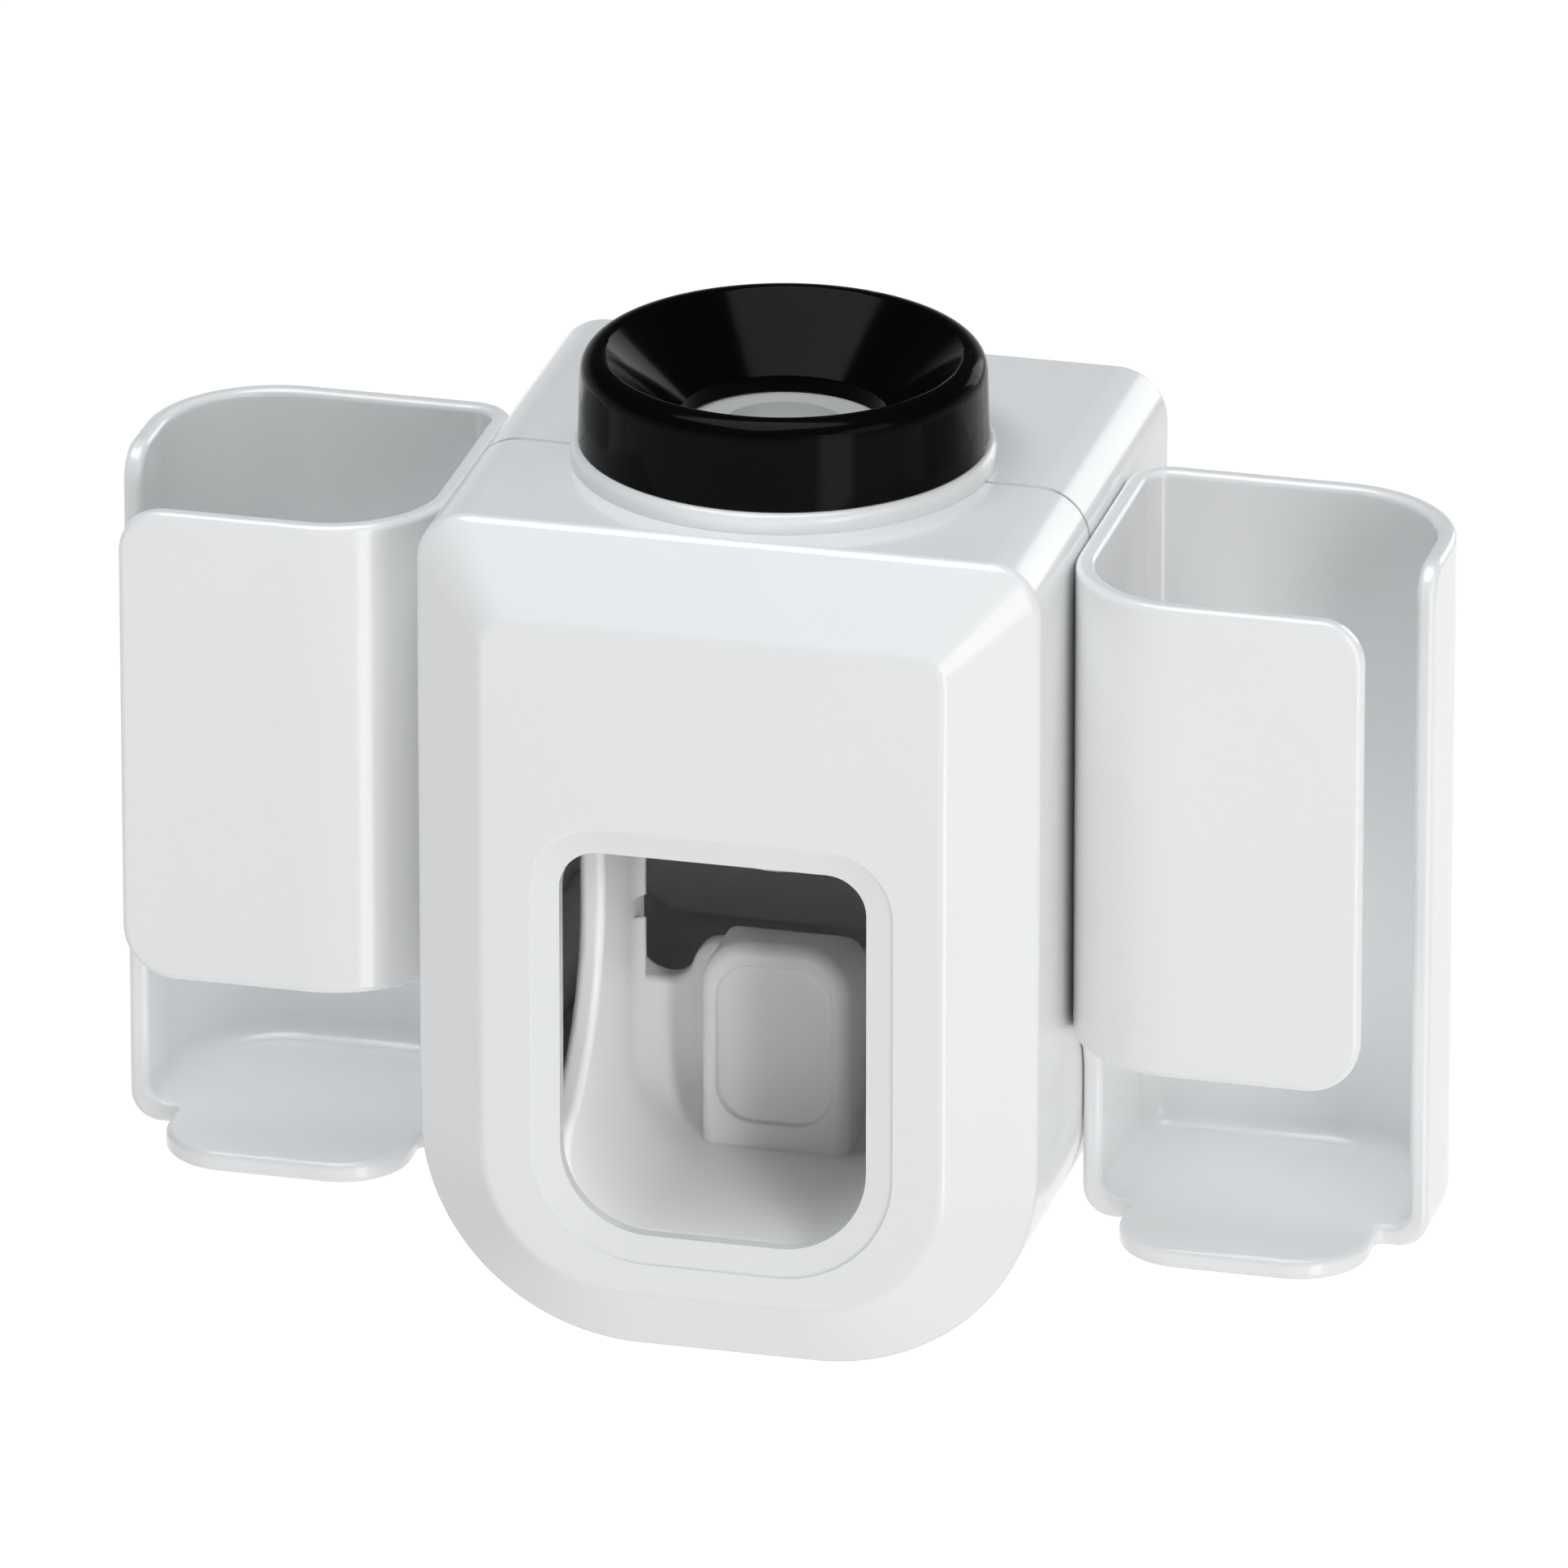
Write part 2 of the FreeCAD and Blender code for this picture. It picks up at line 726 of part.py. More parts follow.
def make_casing_screws():
    """Four screws from the back that draw the two shells together."""
    body = new_body("casing_screws")
    body.AllowCompound = True
    heads = new_sketch(body, "front", screw_seat_depth)
    shanks = new_sketch(body, "front", screw_seat_depth)
    drives = new_sketch(body, "front", screw_seat_depth - mm.screw_head_height)
    half_slot = mm.screw_slot_width / 2
    for across, height in BOSS_PLACES:
        add_circle(heads, across, height, mm.screw_head_radius)
        add_circle(shanks, across, height, mm.screw_radius)
        add_rounded_box(drives, across - mm.screw_head_radius, across + mm.screw_head_radius,
                        height - half_slot, height + half_slot)
    pad(body, heads, mm.screw_head_height, back=True)
    pad(body, shanks, mm.screw_length)
    pocket(body, drives, mm.screw_slot_depth, forward=True)
    return body


# Wall fixing: a foam pad and a plate whose two hooks carry the casing

def make_adhesive_pad():
    body = new_body("adhesive_pad", height=mm.mount_height)
    face = new_sketch(body, "front", -mm.casing_gap)
    half_wide = mm.adhesive_width / 2
    half_tall = mm.adhesive_height / 2
    add_rounded_box(face, -half_wide, half_wide, -half_tall, half_tall, (mm.adhesive_corner_radius,) * 4)
    pad(body, face, mm.adhesive_thickness)
    return body


def make_wall_plate():
    body = new_body("wall_plate", height=mm.mount_height)
    face = new_sketch(body, "front", mm.adhesive_thickness - mm.casing_gap)
    half_wide = mm.plate_width / 2
    half_tall = mm.plate_height / 2
    add_rounded_box(face, -half_wide, half_wide, -half_tall, half_tall, (mm.plate_corner_radius,) * 4)
    pad(body, face, mm.plate_thickness)

    neck_low = mm.wall_hook_height - mm.mount_height
    neck_high = neck_low + mm.wall_hook_neck
    lip_back = hook_wall_front + mm.plate_play
    lip_front = lip_back + mm.wall_hook_thickness
    hook = new_sketch(body, "side", mm.wall_hook_across - mm.wall_hook_width / 2)
    add_outline(hook, [
        (-plate_front, neck_low),
        (-lip_front, neck_low),
        (-lip_front, neck_high + mm.wall_hook_lip),
        (-lip_back, neck_high + mm.wall_hook_lip),
        (-lip_back, neck_high),
        (-plate_front, neck_high),
    ])
    made = pad(body, hook, mm.wall_hook_width)
    mirror_sideways(body, [made])
    return body


# Pump: a barrel clamped between the shells, its valves, and the piston that the lever lifts

collar_top = mm.casing_height + mm.collar_height
spigot_top = collar_top + mm.spigot_height
ring_bottom = collar_top + mm.seat_play
ring_top = ring_bottom + mm.ring_height
ring_hole_top = collar_top + mm.ring_hole_rise
funnel_slope = (ring_top - ring_hole_top) / (mm.ring_mouth_radius - mm.ring_hole_radius)
spigot_inner_top = spigot_top - (mm.spigot_radius - mm.seal_pocket_radius) * funnel_slope
shoulder_top = mm.casing_height - mm.casing_wall - mm.seat_play
shoulder_bottom = shoulder_top - mm.shoulder_height
pocket_floor = mm.casing_height - mm.seal_pocket_depth
web_bottom = pocket_floor - mm.web_thickness
barrel_radius = mm.chamber_radius + mm.barrel_wall
cap_floor_top = mm.barrel_bottom - mm.seat_play
cap_bottom = cap_floor_top - mm.cap_floor


def add_lugs(body, inner_radius, outer_radius, bottom, thickness):
    """Three bayonet lugs about the pump's axis, the first one centred on X."""
    half = mm.lug_sweep / 2
    east = Size.of("cos", half)
    north = Size.of("sin", half)
    lug = new_sketch(body, "top", bottom)
    add_outline(lug, [
        (outer_radius * east, -(outer_radius * north)),
        (outer_radius * east, outer_radius * north, outer_radius, 1),
        (inner_radius * east, inner_radius * north),
        (inner_radius * east, -(inner_radius * north), inner_radius, -1),
    ])
    made = pad(body, lug, thickness)
    repeat_round(body, [made], mm.lug_count)


def make_pump_barrel():
    body = new_body("pump_barrel", depth=mm.pump_depth)
    profile = new_sketch(body, "front")
    add_outline(profile, [
        (mm.seal_pocket_radius, pocket_floor),
        (mm.seal_pocket_radius, spigot_inner_top),
        (mm.spigot_radius, spigot_top),
        (mm.spigot_radius, collar_top),
        (mm.collar_radius, collar_top),
        (mm.collar_radius, mm.casing_height),
        (mm.neck_radius, mm.casing_height),
        (mm.neck_radius, shoulder_top),
        (mm.shoulder_radius, shoulder_top),
        (mm.shoulder_radius, shoulder_bottom),
        (mm.neck_radius, shoulder_bottom),
        (mm.neck_radius, web_bottom),
        (barrel_radius, web_bottom),
        (barrel_radius, mm.barrel_bottom),
        (mm.chamber_radius, mm.barrel_bottom),
        (mm.chamber_radius, web_bottom),
        (ZERO, web_bottom),
        (ZERO, pocket_floor),
    ])
    turn_about_axis(body, profile)
    round_edges(body, mm.collar_edge_radius,
                lambda edge: lies_at(edge, height=collar_top) and same(edge.BoundBox.XMax, mm.collar_radius))
    stem_hole = new_sketch(body, "top", pocket_floor)
    add_circle(stem_hole, ZERO, ZERO, mm.valve_stem_radius + mm.valve_play)
    pocket(body, stem_hole, mm.web_thickness + mm.hair)
    flow_hole = new_sketch(body, "top", pocket_floor)
    add_circle(flow_hole, mm.flow_hole_circle, ZERO, mm.flow_hole_radius)
    bored = pocket(body, flow_hole, mm.web_thickness + mm.hair)
    repeat_round(body, [bored], mm.flow_hole_count)
    add_lugs(body, mm.spigot_radius - mm.seat_play, mm.spigot_radius + mm.lug_reach,
             spigot_top - mm.lug_thickness, mm.lug_thickness)
    return body


def make_barrel_cap():
    """The guide bush that closes the barrel and steadies the stem."""
    body = new_body("barrel_cap", depth=mm.pump_depth)
    inner = barrel_radius + mm.cap_grip
    outer = inner + mm.cap_skirt
    profile = new_sketch(body, "front")
    add_outline(profile, [
        (mm.stem_radius + mm.stem_play, cap_bottom),
        (outer, cap_bottom),
        (outer, cap_floor_top + mm.cap_skirt_height),
        (inner, cap_floor_top + mm.cap_skirt_height),
        (inner, cap_floor_top),
        (mm.stem_radius + mm.stem_play, cap_floor_top),
    ])
    turn_about_axis(body, profile)
    return body


skirt_inside = mm.ring_radius - mm.ring_skirt
lip_bottom = ring_hole_top - mm.ring_lip
lip_outside = mm.ring_hole_radius + (mm.ring_floor - mm.ring_lip) / funnel_slope


def make_tube_ring():
    """The black funnel that guides the tube and clamps the seal."""
    body = new_body("tube_ring", depth=mm.pump_depth)
    profile = new_sketch(body, "front")
    skirt_top = ring_hole_top - mm.ring_floor + (skirt_inside - mm.ring_hole_radius) * funnel_slope
    add_outline(profile, [
        (mm.ring_hole_radius, lip_bottom),
        (lip_outside, lip_bottom),
        (skirt_inside, skirt_top),
        (skirt_inside, ring_bottom),
        (mm.ring_radius, ring_bottom),
        (mm.ring_radius - mm.ring_taper, ring_top),
        (mm.ring_mouth_radius, ring_top),
        (mm.ring_hole_radius, ring_hole_top),
    ])
    turn_about_axis(body, profile)
    outer = mm.ring_radius - mm.ring_taper
    round_edges(body, mm.ring_outer_edge_radius,
                lambda edge: lies_at(edge, height=ring_top) and same(edge.BoundBox.XMax, outer))
    round_edges(body, mm.ring_inner_edge_radius,
                lambda edge: lies_at(edge, height=ring_top)
                and same(edge.BoundBox.XMax, mm.ring_mouth_radius))
    lug_room = mm.spigot_height - mm.lug_thickness * 2
    add_lugs(body, mm.spigot_radius + mm.ring_lug_play, skirt_inside + mm.seat_play,
             collar_top + lug_room / 2, mm.lug_thickness)
    return body


seal_top_height = lip_bottom - mm.seal_play
seal_radius = mm.seal_pocket_radius - mm.seal_play
bore_mouth = pocket_floor + mm.tube_bore_length


def make_inlet_seal():
    """The soft ring that grips the neck of the tube, with a ledge where the neck stops."""
    body = new_body("inlet_seal", depth=mm.pump_depth)
    bead_out = mm.bead_radius + mm.bead_width / 2
    bead_in = mm.bead_radius - mm.bead_width / 2
    bead_slope = (mm.bead_width - mm.bead_crown) / 2
    groove_out = seal_radius - mm.seal_outer_wall
    groove_in = mm.tube_bore_radius + mm.tube_bore_wall
    groove_top = seal_top_height - mm.seal_top
    profile = new_sketch(body, "front")
    add_outline(profile, [
        (mm.tube_stop_radius, pocket_floor),
        (groove_in, pocket_floor),
        (groove_in, groove_top),
        (groove_out, groove_top),
        (groove_out, pocket_floor),
        (seal_radius, pocket_floor),
        (seal_radius, seal_top_height),
        (bead_out, seal_top_height),
        (bead_out - bead_slope, seal_top_height + mm.bead_height),
        (bead_in + bead_slope, seal_top_height + mm.bead_height),
        (bead_in, seal_top_height),
        (mm.tube_bore_radius, bore_mouth),
        (mm.tube_bore_radius, pocket_floor + mm.tube_stop_height),
        (mm.tube_stop_radius, pocket_floor + mm.tube_stop_height),
    ])
    turn_about_axis(body, profile)
    return body


def make_inlet_valve():
    """A soft umbrella valve under the web of the barrel."""
    body = new_body("inlet_valve", depth=mm.pump_depth)
    disc_top = web_bottom - mm.valve_play
    bulb_low = pocket_floor + mm.valve_play
    profile = new_sketch(body, "front")
    add_outline(profile, [
        (ZERO, disc_top - mm.valve_disc_thickness),
        (mm.valve_disc_radius, disc_top - mm.valve_disc_thickness / 2),
        (mm.valve_disc_radius, disc_top),
        (mm.valve_stem_radius, disc_top),
        (mm.valve_stem_radius, bulb_low),
        (mm.valve_bulb_radius, bulb_low),
        (mm.valve_stem_radius, bulb_low + mm.valve_bulb_height),
        (ZERO, bulb_low + mm.valve_bulb_height),
    ])
    turn_about_axis(body, profile)
    return body


flange_bottom = mm.finger_height + mm.finger_radius + mm.finger_play
flange_top = flange_bottom + mm.lift_flange_height
piston_bottom = cap_floor_top + mm.piston_rest_gap
piston_tip_top = piston_bottom + mm.stem_tip_length


def make_pump_stem():
    """The hollow stem, with the flange that the lever's fingers lift."""
    body = new_body("pump_stem", depth=mm.pump_depth)
    profile = new_sketch(body, "front")
    add_outline(profile, [
        (mm.stem_bore_radius, mm.stem_bottom),
        (mm.stem_radius, mm.stem_bottom),
        (mm.stem_radius, flange_bottom),
        (mm.lift_flange_radius, flange_bottom),
        (mm.lift_flange_radius, flange_top),
        (mm.stem_radius, flange_top),
        (mm.stem_radius, piston_bottom),
        (mm.stem_tip_radius, piston_bottom),
        (mm.stem_tip_radius, piston_tip_top),
        (mm.stem_bore_radius, piston_tip_top),
    ])
    turn_about_axis(body, profile)
    return body


groove_low = piston_bottom + (mm.piston_height - mm.ring_groove_width) / 2
groove_floor = mm.piston_radius - mm.ring_groove_depth


def make_piston_head():
    body = new_body("piston_head", depth=mm.pump_depth)
    socket = mm.stem_tip_radius + mm.stem_play
    socket_top = piston_tip_top + mm.stem_play
    profile = new_sketch(body, "front")
    add_outline(profile, [
        (socket, piston_bottom),
        (mm.piston_radius, piston_bottom),
        (mm.piston_radius, groove_low),
        (groove_floor, groove_low),
        (groove_floor, groove_low + mm.ring_groove_width),
        (mm.piston_radius, groove_low + mm.ring_groove_width),
        (mm.piston_radius, piston_bottom + mm.piston_height),
        (mm.stem_bore_radius, piston_bottom + mm.piston_height),
        (mm.stem_bore_radius, socket_top),
        (socket, socket_top),
    ])
    turn_about_axis(body, profile)
    return body


def make_piston_seal():
    """The ring that seals the piston in the barrel."""
    made = doc.addObject("Part::Torus", "piston_seal")
    made.Label = "piston_seal"
    bind(made, "Radius1", mm.chamber_radius - mm.o_ring_play - mm.o_ring_radius)
    bind(made, "Radius2", mm.o_ring_radius)
    bind(made, "Placement.Base.y", -(mm.casing_gap + mm.pump_depth))
    bind(made, "Placement.Base.z", groove_low + mm.ring_groove_width / 2 - mm.mount_height)
    return made


nozzle_floor_top = mm.stem_bottom - mm.duckbill_flange_height - mm.seat_play


def make_nozzle_tip():
    """The cap that holds the outlet valve on the stem."""
    body = new_body("nozzle_tip", depth=mm.pump_depth)
    inner = mm.stem_radius + mm.stem_play
    outer = inner + mm.nozzle_wall
    bottom = nozzle_floor_top - mm.nozzle_floor
    profile = new_sketch(body, "front")
    add_outline(profile, [
        (mm.nozzle_hole_radius, bottom),
        (outer - mm.nozzle_floor, bottom),
        (outer, nozzle_floor_top),
        (outer, mm.stem_bottom + mm.nozzle_skirt_height),
        (inner, mm.stem_bottom + mm.nozzle_skirt_height),
        (inner, nozzle_floor_top),
        (mm.nozzle_hole_radius, nozzle_floor_top),
    ])
    turn_about_axis(body, profile)
    return body


def make_outlet_valve():
    """A soft duckbill that opens under pressure and closes after each stroke."""
    body = new_body("outlet_valve", depth=mm.pump_depth)
    flange_low = nozzle_floor_top + mm.seat_play / 2
    beak_tip = flange_low - mm.duckbill_length
    profile = new_sketch(body, "front")
    add_outline(profile, [
        (ZERO, beak_tip),
        (mm.duckbill_tip_radius, beak_tip),
        (mm.duckbill_radius, flange_low),
        (mm.duckbill_flange_radius, flange_low),
        (mm.duckbill_flange_radius, flange_low + mm.duckbill_flange_height),
        (ZERO, flange_low + mm.duckbill_flange_height),
    ])
    turn_about_axis(body, profile)
    slit = new_sketch(body, "top", beak_tip)
    half_slit = mm.duckbill_slit / 2
    add_rounded_box(slit, -mm.duckbill_tip_radius, mm.duckbill_tip_radius, -half_slit, half_slit)
    pocket(body, slit, mm.duckbill_length, forward=True)
    return body


def make_return_spring():
    """A coil of round wire, swept along quarter-turn arcs that climb from the flange to the cap."""
    wire_radius = float(mm.spring_wire_radius)
    coil_radius = float(mm.spring_radius)
    play = float(mm.spring_play)
    low = float(flange_top) + play + wire_radius
    high = float(cap_bottom) - play - wire_radius
    quarters = int(SIZES["spring_turns"]) * 4
    climb = (high - low) / quarters

    def coil_point(quarter):
        angle = math.pi / 2 * quarter
        return Vector(coil_radius * math.cos(angle), coil_radius * math.sin(angle), low + climb * quarter)

    arcs = [Part.Arc(coil_point(n), coil_point(n + 0.5), coil_point(n + 1)) for n in range(quarters)]
    edges = [arc.toShape() for arc in arcs]
    path = Part.Wire(edges)
    start_direction = edges[0].tangentAt(edges[0].FirstParameter)
    section = Part.Wire(Part.Circle(coil_point(0), start_direction, wire_radius).toShape())
    made = doc.addObject("Part::Feature", "return_spring")
    made.Label = "return_spring"
    made.Shape = path.makePipeShell([section], True, False)
    made.Placement.Base = Vector(0, -float(mm.casing_gap + mm.pump_depth), -float(mm.mount_height))
    points = [coil_point(quarter) for quarter in range(quarters + 1)]
    pairs = [(one, other) for n, one in enumerate(points) for other in points[n + 3:]]
    gap = min((one - other).Length for one, other in pairs) - wire_radius * 2
    print(f"return spring: {SIZES['spring_turns']} turns, least gap to itself {gap:.2f} mm")
    return made


# Lever: a scoop that the brush pushes back, hung from two pins

lever_half = mm.lever_width / 2
arm_inside = lever_half - mm.lever_wall
lever_front = mm.casing_depth - mm.casing_wall - mm.lever_front_play
arm_front = pivot_depth - mm.arm_inset
bowl_floor = mm.lever_bottom + mm.lever_floor
bowl_back = mm.lever_back + mm.lever_back_wall
pad_front = bowl_back + mm.pad_reach
pad_half = mm.pad_width / 2
hub_front = pivot_depth + mm.hub_reach
cheek_sum = mm.cheek_upper_radius + mm.cheek_lower_radius
cheek_turn = Size.of("acos", 1 - (lever_front - arm_front) / cheek_sum)
cheek_joint_depth = arm_front + mm.cheek_upper_radius * (1 - Size.of("cos", cheek_turn))
cheek_joint_height = mm.cheek_high - mm.cheek_upper_radius * Size.of("sin", cheek_turn)
cheek_low = cheek_joint_height - mm.cheek_lower_radius * Size.of("sin", cheek_turn)


def make_push_lever():
    body = new_body("push_lever")
    block = new_sketch(body, "front", mm.lever_back)
    outer_corner = mm.lever_corner_radius + mm.lever_wall
    add_rounded_box(block, -lever_half, lever_half, mm.lever_bottom, mm.lever_top,
                    (outer_corner, outer_corner, ZERO, ZERO))
    pad(body, block, lever_front - mm.lever_back)
    round_edges(body, mm.lever_bowl_radius,
                lambda edge: lies_at(edge, depth=mm.lever_back) and edge.BoundBox.ZMin < float(mm.hub_low)
                and not same(edge.BoundBox.ZMin, mm.lever_top))
    bowl = new_sketch(body, "front", bowl_back)
    add_rounded_box(bowl, -arm_inside, arm_inside, bowl_floor, mm.lever_top + mm.overrun,
                    (mm.lever_corner_radius, mm.lever_corner_radius, ZERO, ZERO))
    pocket(body, bowl, lever_front - bowl_back + mm.overrun, forward=True)
    round_edges(body, mm.lever_bowl_radius,
                lambda edge: lies_at(edge, depth=bowl_back) and not same(edge.BoundBox.ZMin, mm.lever_top))
    cut_cheeks(body)
    cut_wave(body)
    add_thumb_pad(body)
    soften_lever(body)
    add_panel(body)
    add_hubs_and_fingers(body)
    return body


def cut_cheeks(body):
    """Cuts the side walls back to an S-shaped front edge below the hub."""
    far = lever_front + mm.overrun
    high = mm.lever_top + mm.overrun
    front = new_sketch(body, "side")
    add_outline(front, [
        (-far, cheek_low),
        (-lever_front, cheek_low),
        (-cheek_joint_depth, cheek_joint_height, mm.cheek_lower_radius, -1),
        (-arm_front, mm.cheek_high, mm.cheek_upper_radius, 1),
        (-arm_front, mm.hub_low),
        (-hub_front, mm.pivot_height),
        (-hub_front, high),
        (-far, high),
    ])
    pocket(body, front, mm.lever_width + mm.overrun, both=True)


def add_thumb_pad(body):
    """The raised pad that the brush presses, with a top that bends down behind a level ridge."""
    root = bowl_back - mm.pad_embed
    raised = new_sketch(body, "front", root)
    add_rounded_box(raised, -pad_half, pad_half, bowl_floor - mm.pad_embed, mm.pad_height,
                    (ZERO, ZERO, mm.pad_corner_radius, mm.pad_corner_radius))
    pad(body, raised, pad_front - root)
    ridge = pad_front - mm.pad_ridge
    run = ridge - mm.lever_back
    bend = (run * run + mm.pad_fall * mm.pad_fall) / (mm.pad_fall * 2)
    high = mm.pad_height + mm.overrun
    fall = new_sketch(body, "side")
    add_outline(fall, [
        (-mm.lever_back, mm.pad_height - mm.pad_fall),
        (-ridge, mm.pad_height, bend, 1),
        (-ridge, high),
        (-mm.lever_back, high),
    ])
    pocket(body, fall, arm_inside * 2, both=True)


def cut_wave(body):
    """Cuts the top of the back wall to a crest between two valleys."""
    high = mm.lever_top + mm.overrun
    valley_radius = arm_inside - mm.valley_across
    shoulder_sum = valley_radius + mm.crest_shoulder_radius
    turn = Size.of("acos", 1 - (mm.crest_height - mm.valley_height) / shoulder_sum)
    joint_across = mm.valley_across - valley_radius * Size.of("sin", turn)
    joint_height = mm.valley_height + valley_radius * (1 - Size.of("cos", turn))
    crest_across = mm.valley_across - shoulder_sum * Size.of("sin", turn)
    wave = new_sketch(body, "front", mm.lever_back - mm.overrun)
    add_outline(wave, [
        (-arm_inside, high),
        (-arm_inside, mm.valley_height + valley_radius),
        (-mm.valley_across, mm.valley_height, valley_radius, 1),
        (-joint_across, joint_height, valley_radius, 1),
        (-crest_across, mm.crest_height, mm.crest_shoulder_radius, -1),
        (crest_across, mm.crest_height),
        (joint_across, joint_height, mm.crest_shoulder_radius, -1),
        (mm.valley_across, mm.valley_height, valley_radius, 1),
        (arm_inside, mm.valley_height + valley_radius, valley_radius, 1),
        (arm_inside, high),
    ])
    pocket(body, wave, mm.lever_back_wall + mm.overrun * 2, forward=True)
    wave_radii = (valley_radius, mm.crest_shoulder_radius)

    def is_wave_edge(edge):
        bent = edge.Curve.TypeId == "Part::GeomCircle"
        on_bend = bent and any(same(edge.Curve.Radius, radius) for radius in wave_radii)
        on_face = lies_at(edge, depth=mm.lever_back) or lies_at(edge, depth=bowl_back)
        return on_face and (on_bend or lies_at(edge, height=mm.crest_height))
    round_edges(body, mm.crest_edge_radius, is_wave_edge)
    round_edges(body, mm.arm_corner_radius,
                lambda edge: lies_at(edge, height=mm.lever_top, depth=mm.lever_back)
                or lies_at(edge, height=mm.lever_top, depth=hub_front))


def soften_lever(body):
    """Rounds the front edge of the scoop and the edges of the raised pad."""
    sides = (lever_half, -lever_half, arm_inside, -arm_inside)
    cheek_radii = (mm.cheek_upper_radius, mm.cheek_lower_radius)

    def is_front_edge(edge):
        bent = edge.Curve.TypeId == "Part::GeomCircle"
        on_cheek = bent and any(same(edge.Curve.Radius, radius) for radius in cheek_radii)
        on_arm = lies_at(edge, depth=arm_front)
        on_side = any(lies_at(edge, x=side) for side in sides)
        return lies_at(edge, depth=lever_front) or on_side and (on_cheek or on_arm)
    round_edges(body, mm.lever_edge_radius, is_front_edge)
    round_edges(body, mm.pad_edge_radius,
                lambda edge: lies_at(edge, depth=pad_front) and not lies_at(edge, height=bowl_floor))


def add_panel(body):
    """The sunk panel in the face that the brush presses."""
    half = mm.panel_width / 2
    panel = new_sketch(body, "front", pad_front)
    add_rounded_box(panel, -half, half, mm.panel_bottom, mm.panel_top, (mm.panel_corner_radius,) * 4)
    pocket(body, panel, mm.panel_recess)


def add_hubs_and_fingers(body):
    hub = new_sketch(body, "side", lever_half - mm.lever_wall / 2)
    add_circle(hub, -pivot_depth, mm.pivot_height, mm.hub_radius)
    made_hub = pad(body, hub, mm.hub_length + mm.lever_wall / 2)
    bore = new_sketch(body, "side", arm_inside - mm.overrun)
    add_circle(bore, -pivot_depth, mm.pivot_height, mm.pin_radius + mm.pin_play)
    made_bore = pocket(body, bore, mm.lever_wall + mm.hub_length + mm.overrun * 2, forward=True)
    finger = new_sketch(body, "side", mm.finger_inner)
    add_circle(finger, -mm.pump_depth, mm.finger_height, mm.finger_radius)
    made_finger = pad(body, finger, lever_half - mm.lever_wall / 2 - mm.finger_inner)
    mirror_sideways(body, [made_hub, made_bore, made_finger])


def make_lever_pins():
    body = new_body("lever_pins")
    body.AllowCompound = True
    bearing_start = lever_half + mm.hub_length + mm.hub_play
    pin = new_sketch(body, "side", arm_inside)
    add_circle(pin, -pivot_depth, mm.pivot_height, mm.pin_radius)
    made = pad(body, pin, bearing_start + mm.pin_depth - arm_inside)
    mirror_sideways(body, [made])
    return body


# Brush holders: two mirrored cups, open at the outer side and cut away below the front wall

holder_inner = half_width + mm.holder_gap
holder_outer = half_width + mm.holder_reach
floor_top = mm.holder_bottom + mm.holder_floor


def make_right_holder():
    body = new_body("right_brush_holder")
    outside = new_sketch(body, "top", mm.holder_bottom)
    add_rounded_box(outside, holder_inner, holder_outer, -mm.holder_front, -mm.holder_back,
                    (mm.holder_front_inner_radius, ZERO, mm.holder_back_outer_radius,
                     mm.holder_back_inner_radius))
    pad(body, outside, mm.holder_top - mm.holder_bottom)
    round_edges(body, mm.holder_foot_radius,
                lambda edge: lies_at(edge, height=mm.holder_bottom)
                and not lies_at(edge, depth=mm.holder_front))
    wall = mm.holder_wall
    inside = new_sketch(body, "top", floor_top)
    add_rounded_box(inside, holder_inner + wall, holder_outer - wall, wall - mm.holder_front,
                    -mm.holder_back - wall,
                    (mm.holder_front_inner_radius - wall, ZERO, mm.holder_back_outer_radius - wall,
                     mm.holder_back_inner_radius - wall))
    pocket(body, inside, mm.holder_top - floor_top + mm.overrun, forward=True)
    round_edges(body, mm.holder_bowl_radius,
                lambda edge: lies_at(edge, height=floor_top)
                and not lies_at(edge, depth=mm.holder_front - wall))
    cut_holder_openings(body)
    add_holder_tongue(body)
    soften_holder(body)
    add_holder_hooks(body)
    return body


def cut_holder_openings(body):
    front = mm.holder_front + mm.overrun
    gate = new_sketch(body, "top", mm.holder_bottom - mm.overrun)
    add_rounded_box(gate, half_width + mm.front_wall_reach, holder_outer + mm.overrun,
                    -front, -mm.side_wall_front)
    pocket(body, gate, mm.holder_top - mm.holder_bottom + mm.overrun * 2, forward=True)
    below = new_sketch(body, "side")
    add_rounded_box(below, -front, -mm.side_wall_front, mm.holder_bottom - mm.overrun, mm.front_wall_bottom,
                    (ZERO, ZERO, mm.cutaway_radius, ZERO))
    pocket(body, below, holder_outer * 2 + mm.overrun, both=True)
    corner = half_width + mm.front_wall_reach
    round_edges(body, mm.front_wall_top_radius,
                lambda edge: lies_at(edge, x=corner, height=mm.holder_top))
    round_edges(body, mm.front_wall_bottom_radius,
                lambda edge: lies_at(edge, x=corner, height=mm.front_wall_bottom))
    round_edges(body, mm.side_wall_top_radius,
                lambda edge: lies_at(edge, depth=mm.side_wall_front, height=mm.holder_top))


def add_holder_tongue(body):
    """The floor's tongue, which carries the feet of the brushes."""
    start = half_width + mm.tongue_start
    tongue = new_sketch(body, "top", mm.holder_bottom)
    root = mm.holder_back + mm.holder_back_outer_radius
    add_rounded_box(tongue, start, start + mm.tongue_width, -mm.tongue_front, -root,
                    (mm.tongue_corner_radius, mm.tongue_corner_radius, ZERO, ZERO))
    pad(body, tongue, mm.holder_floor)


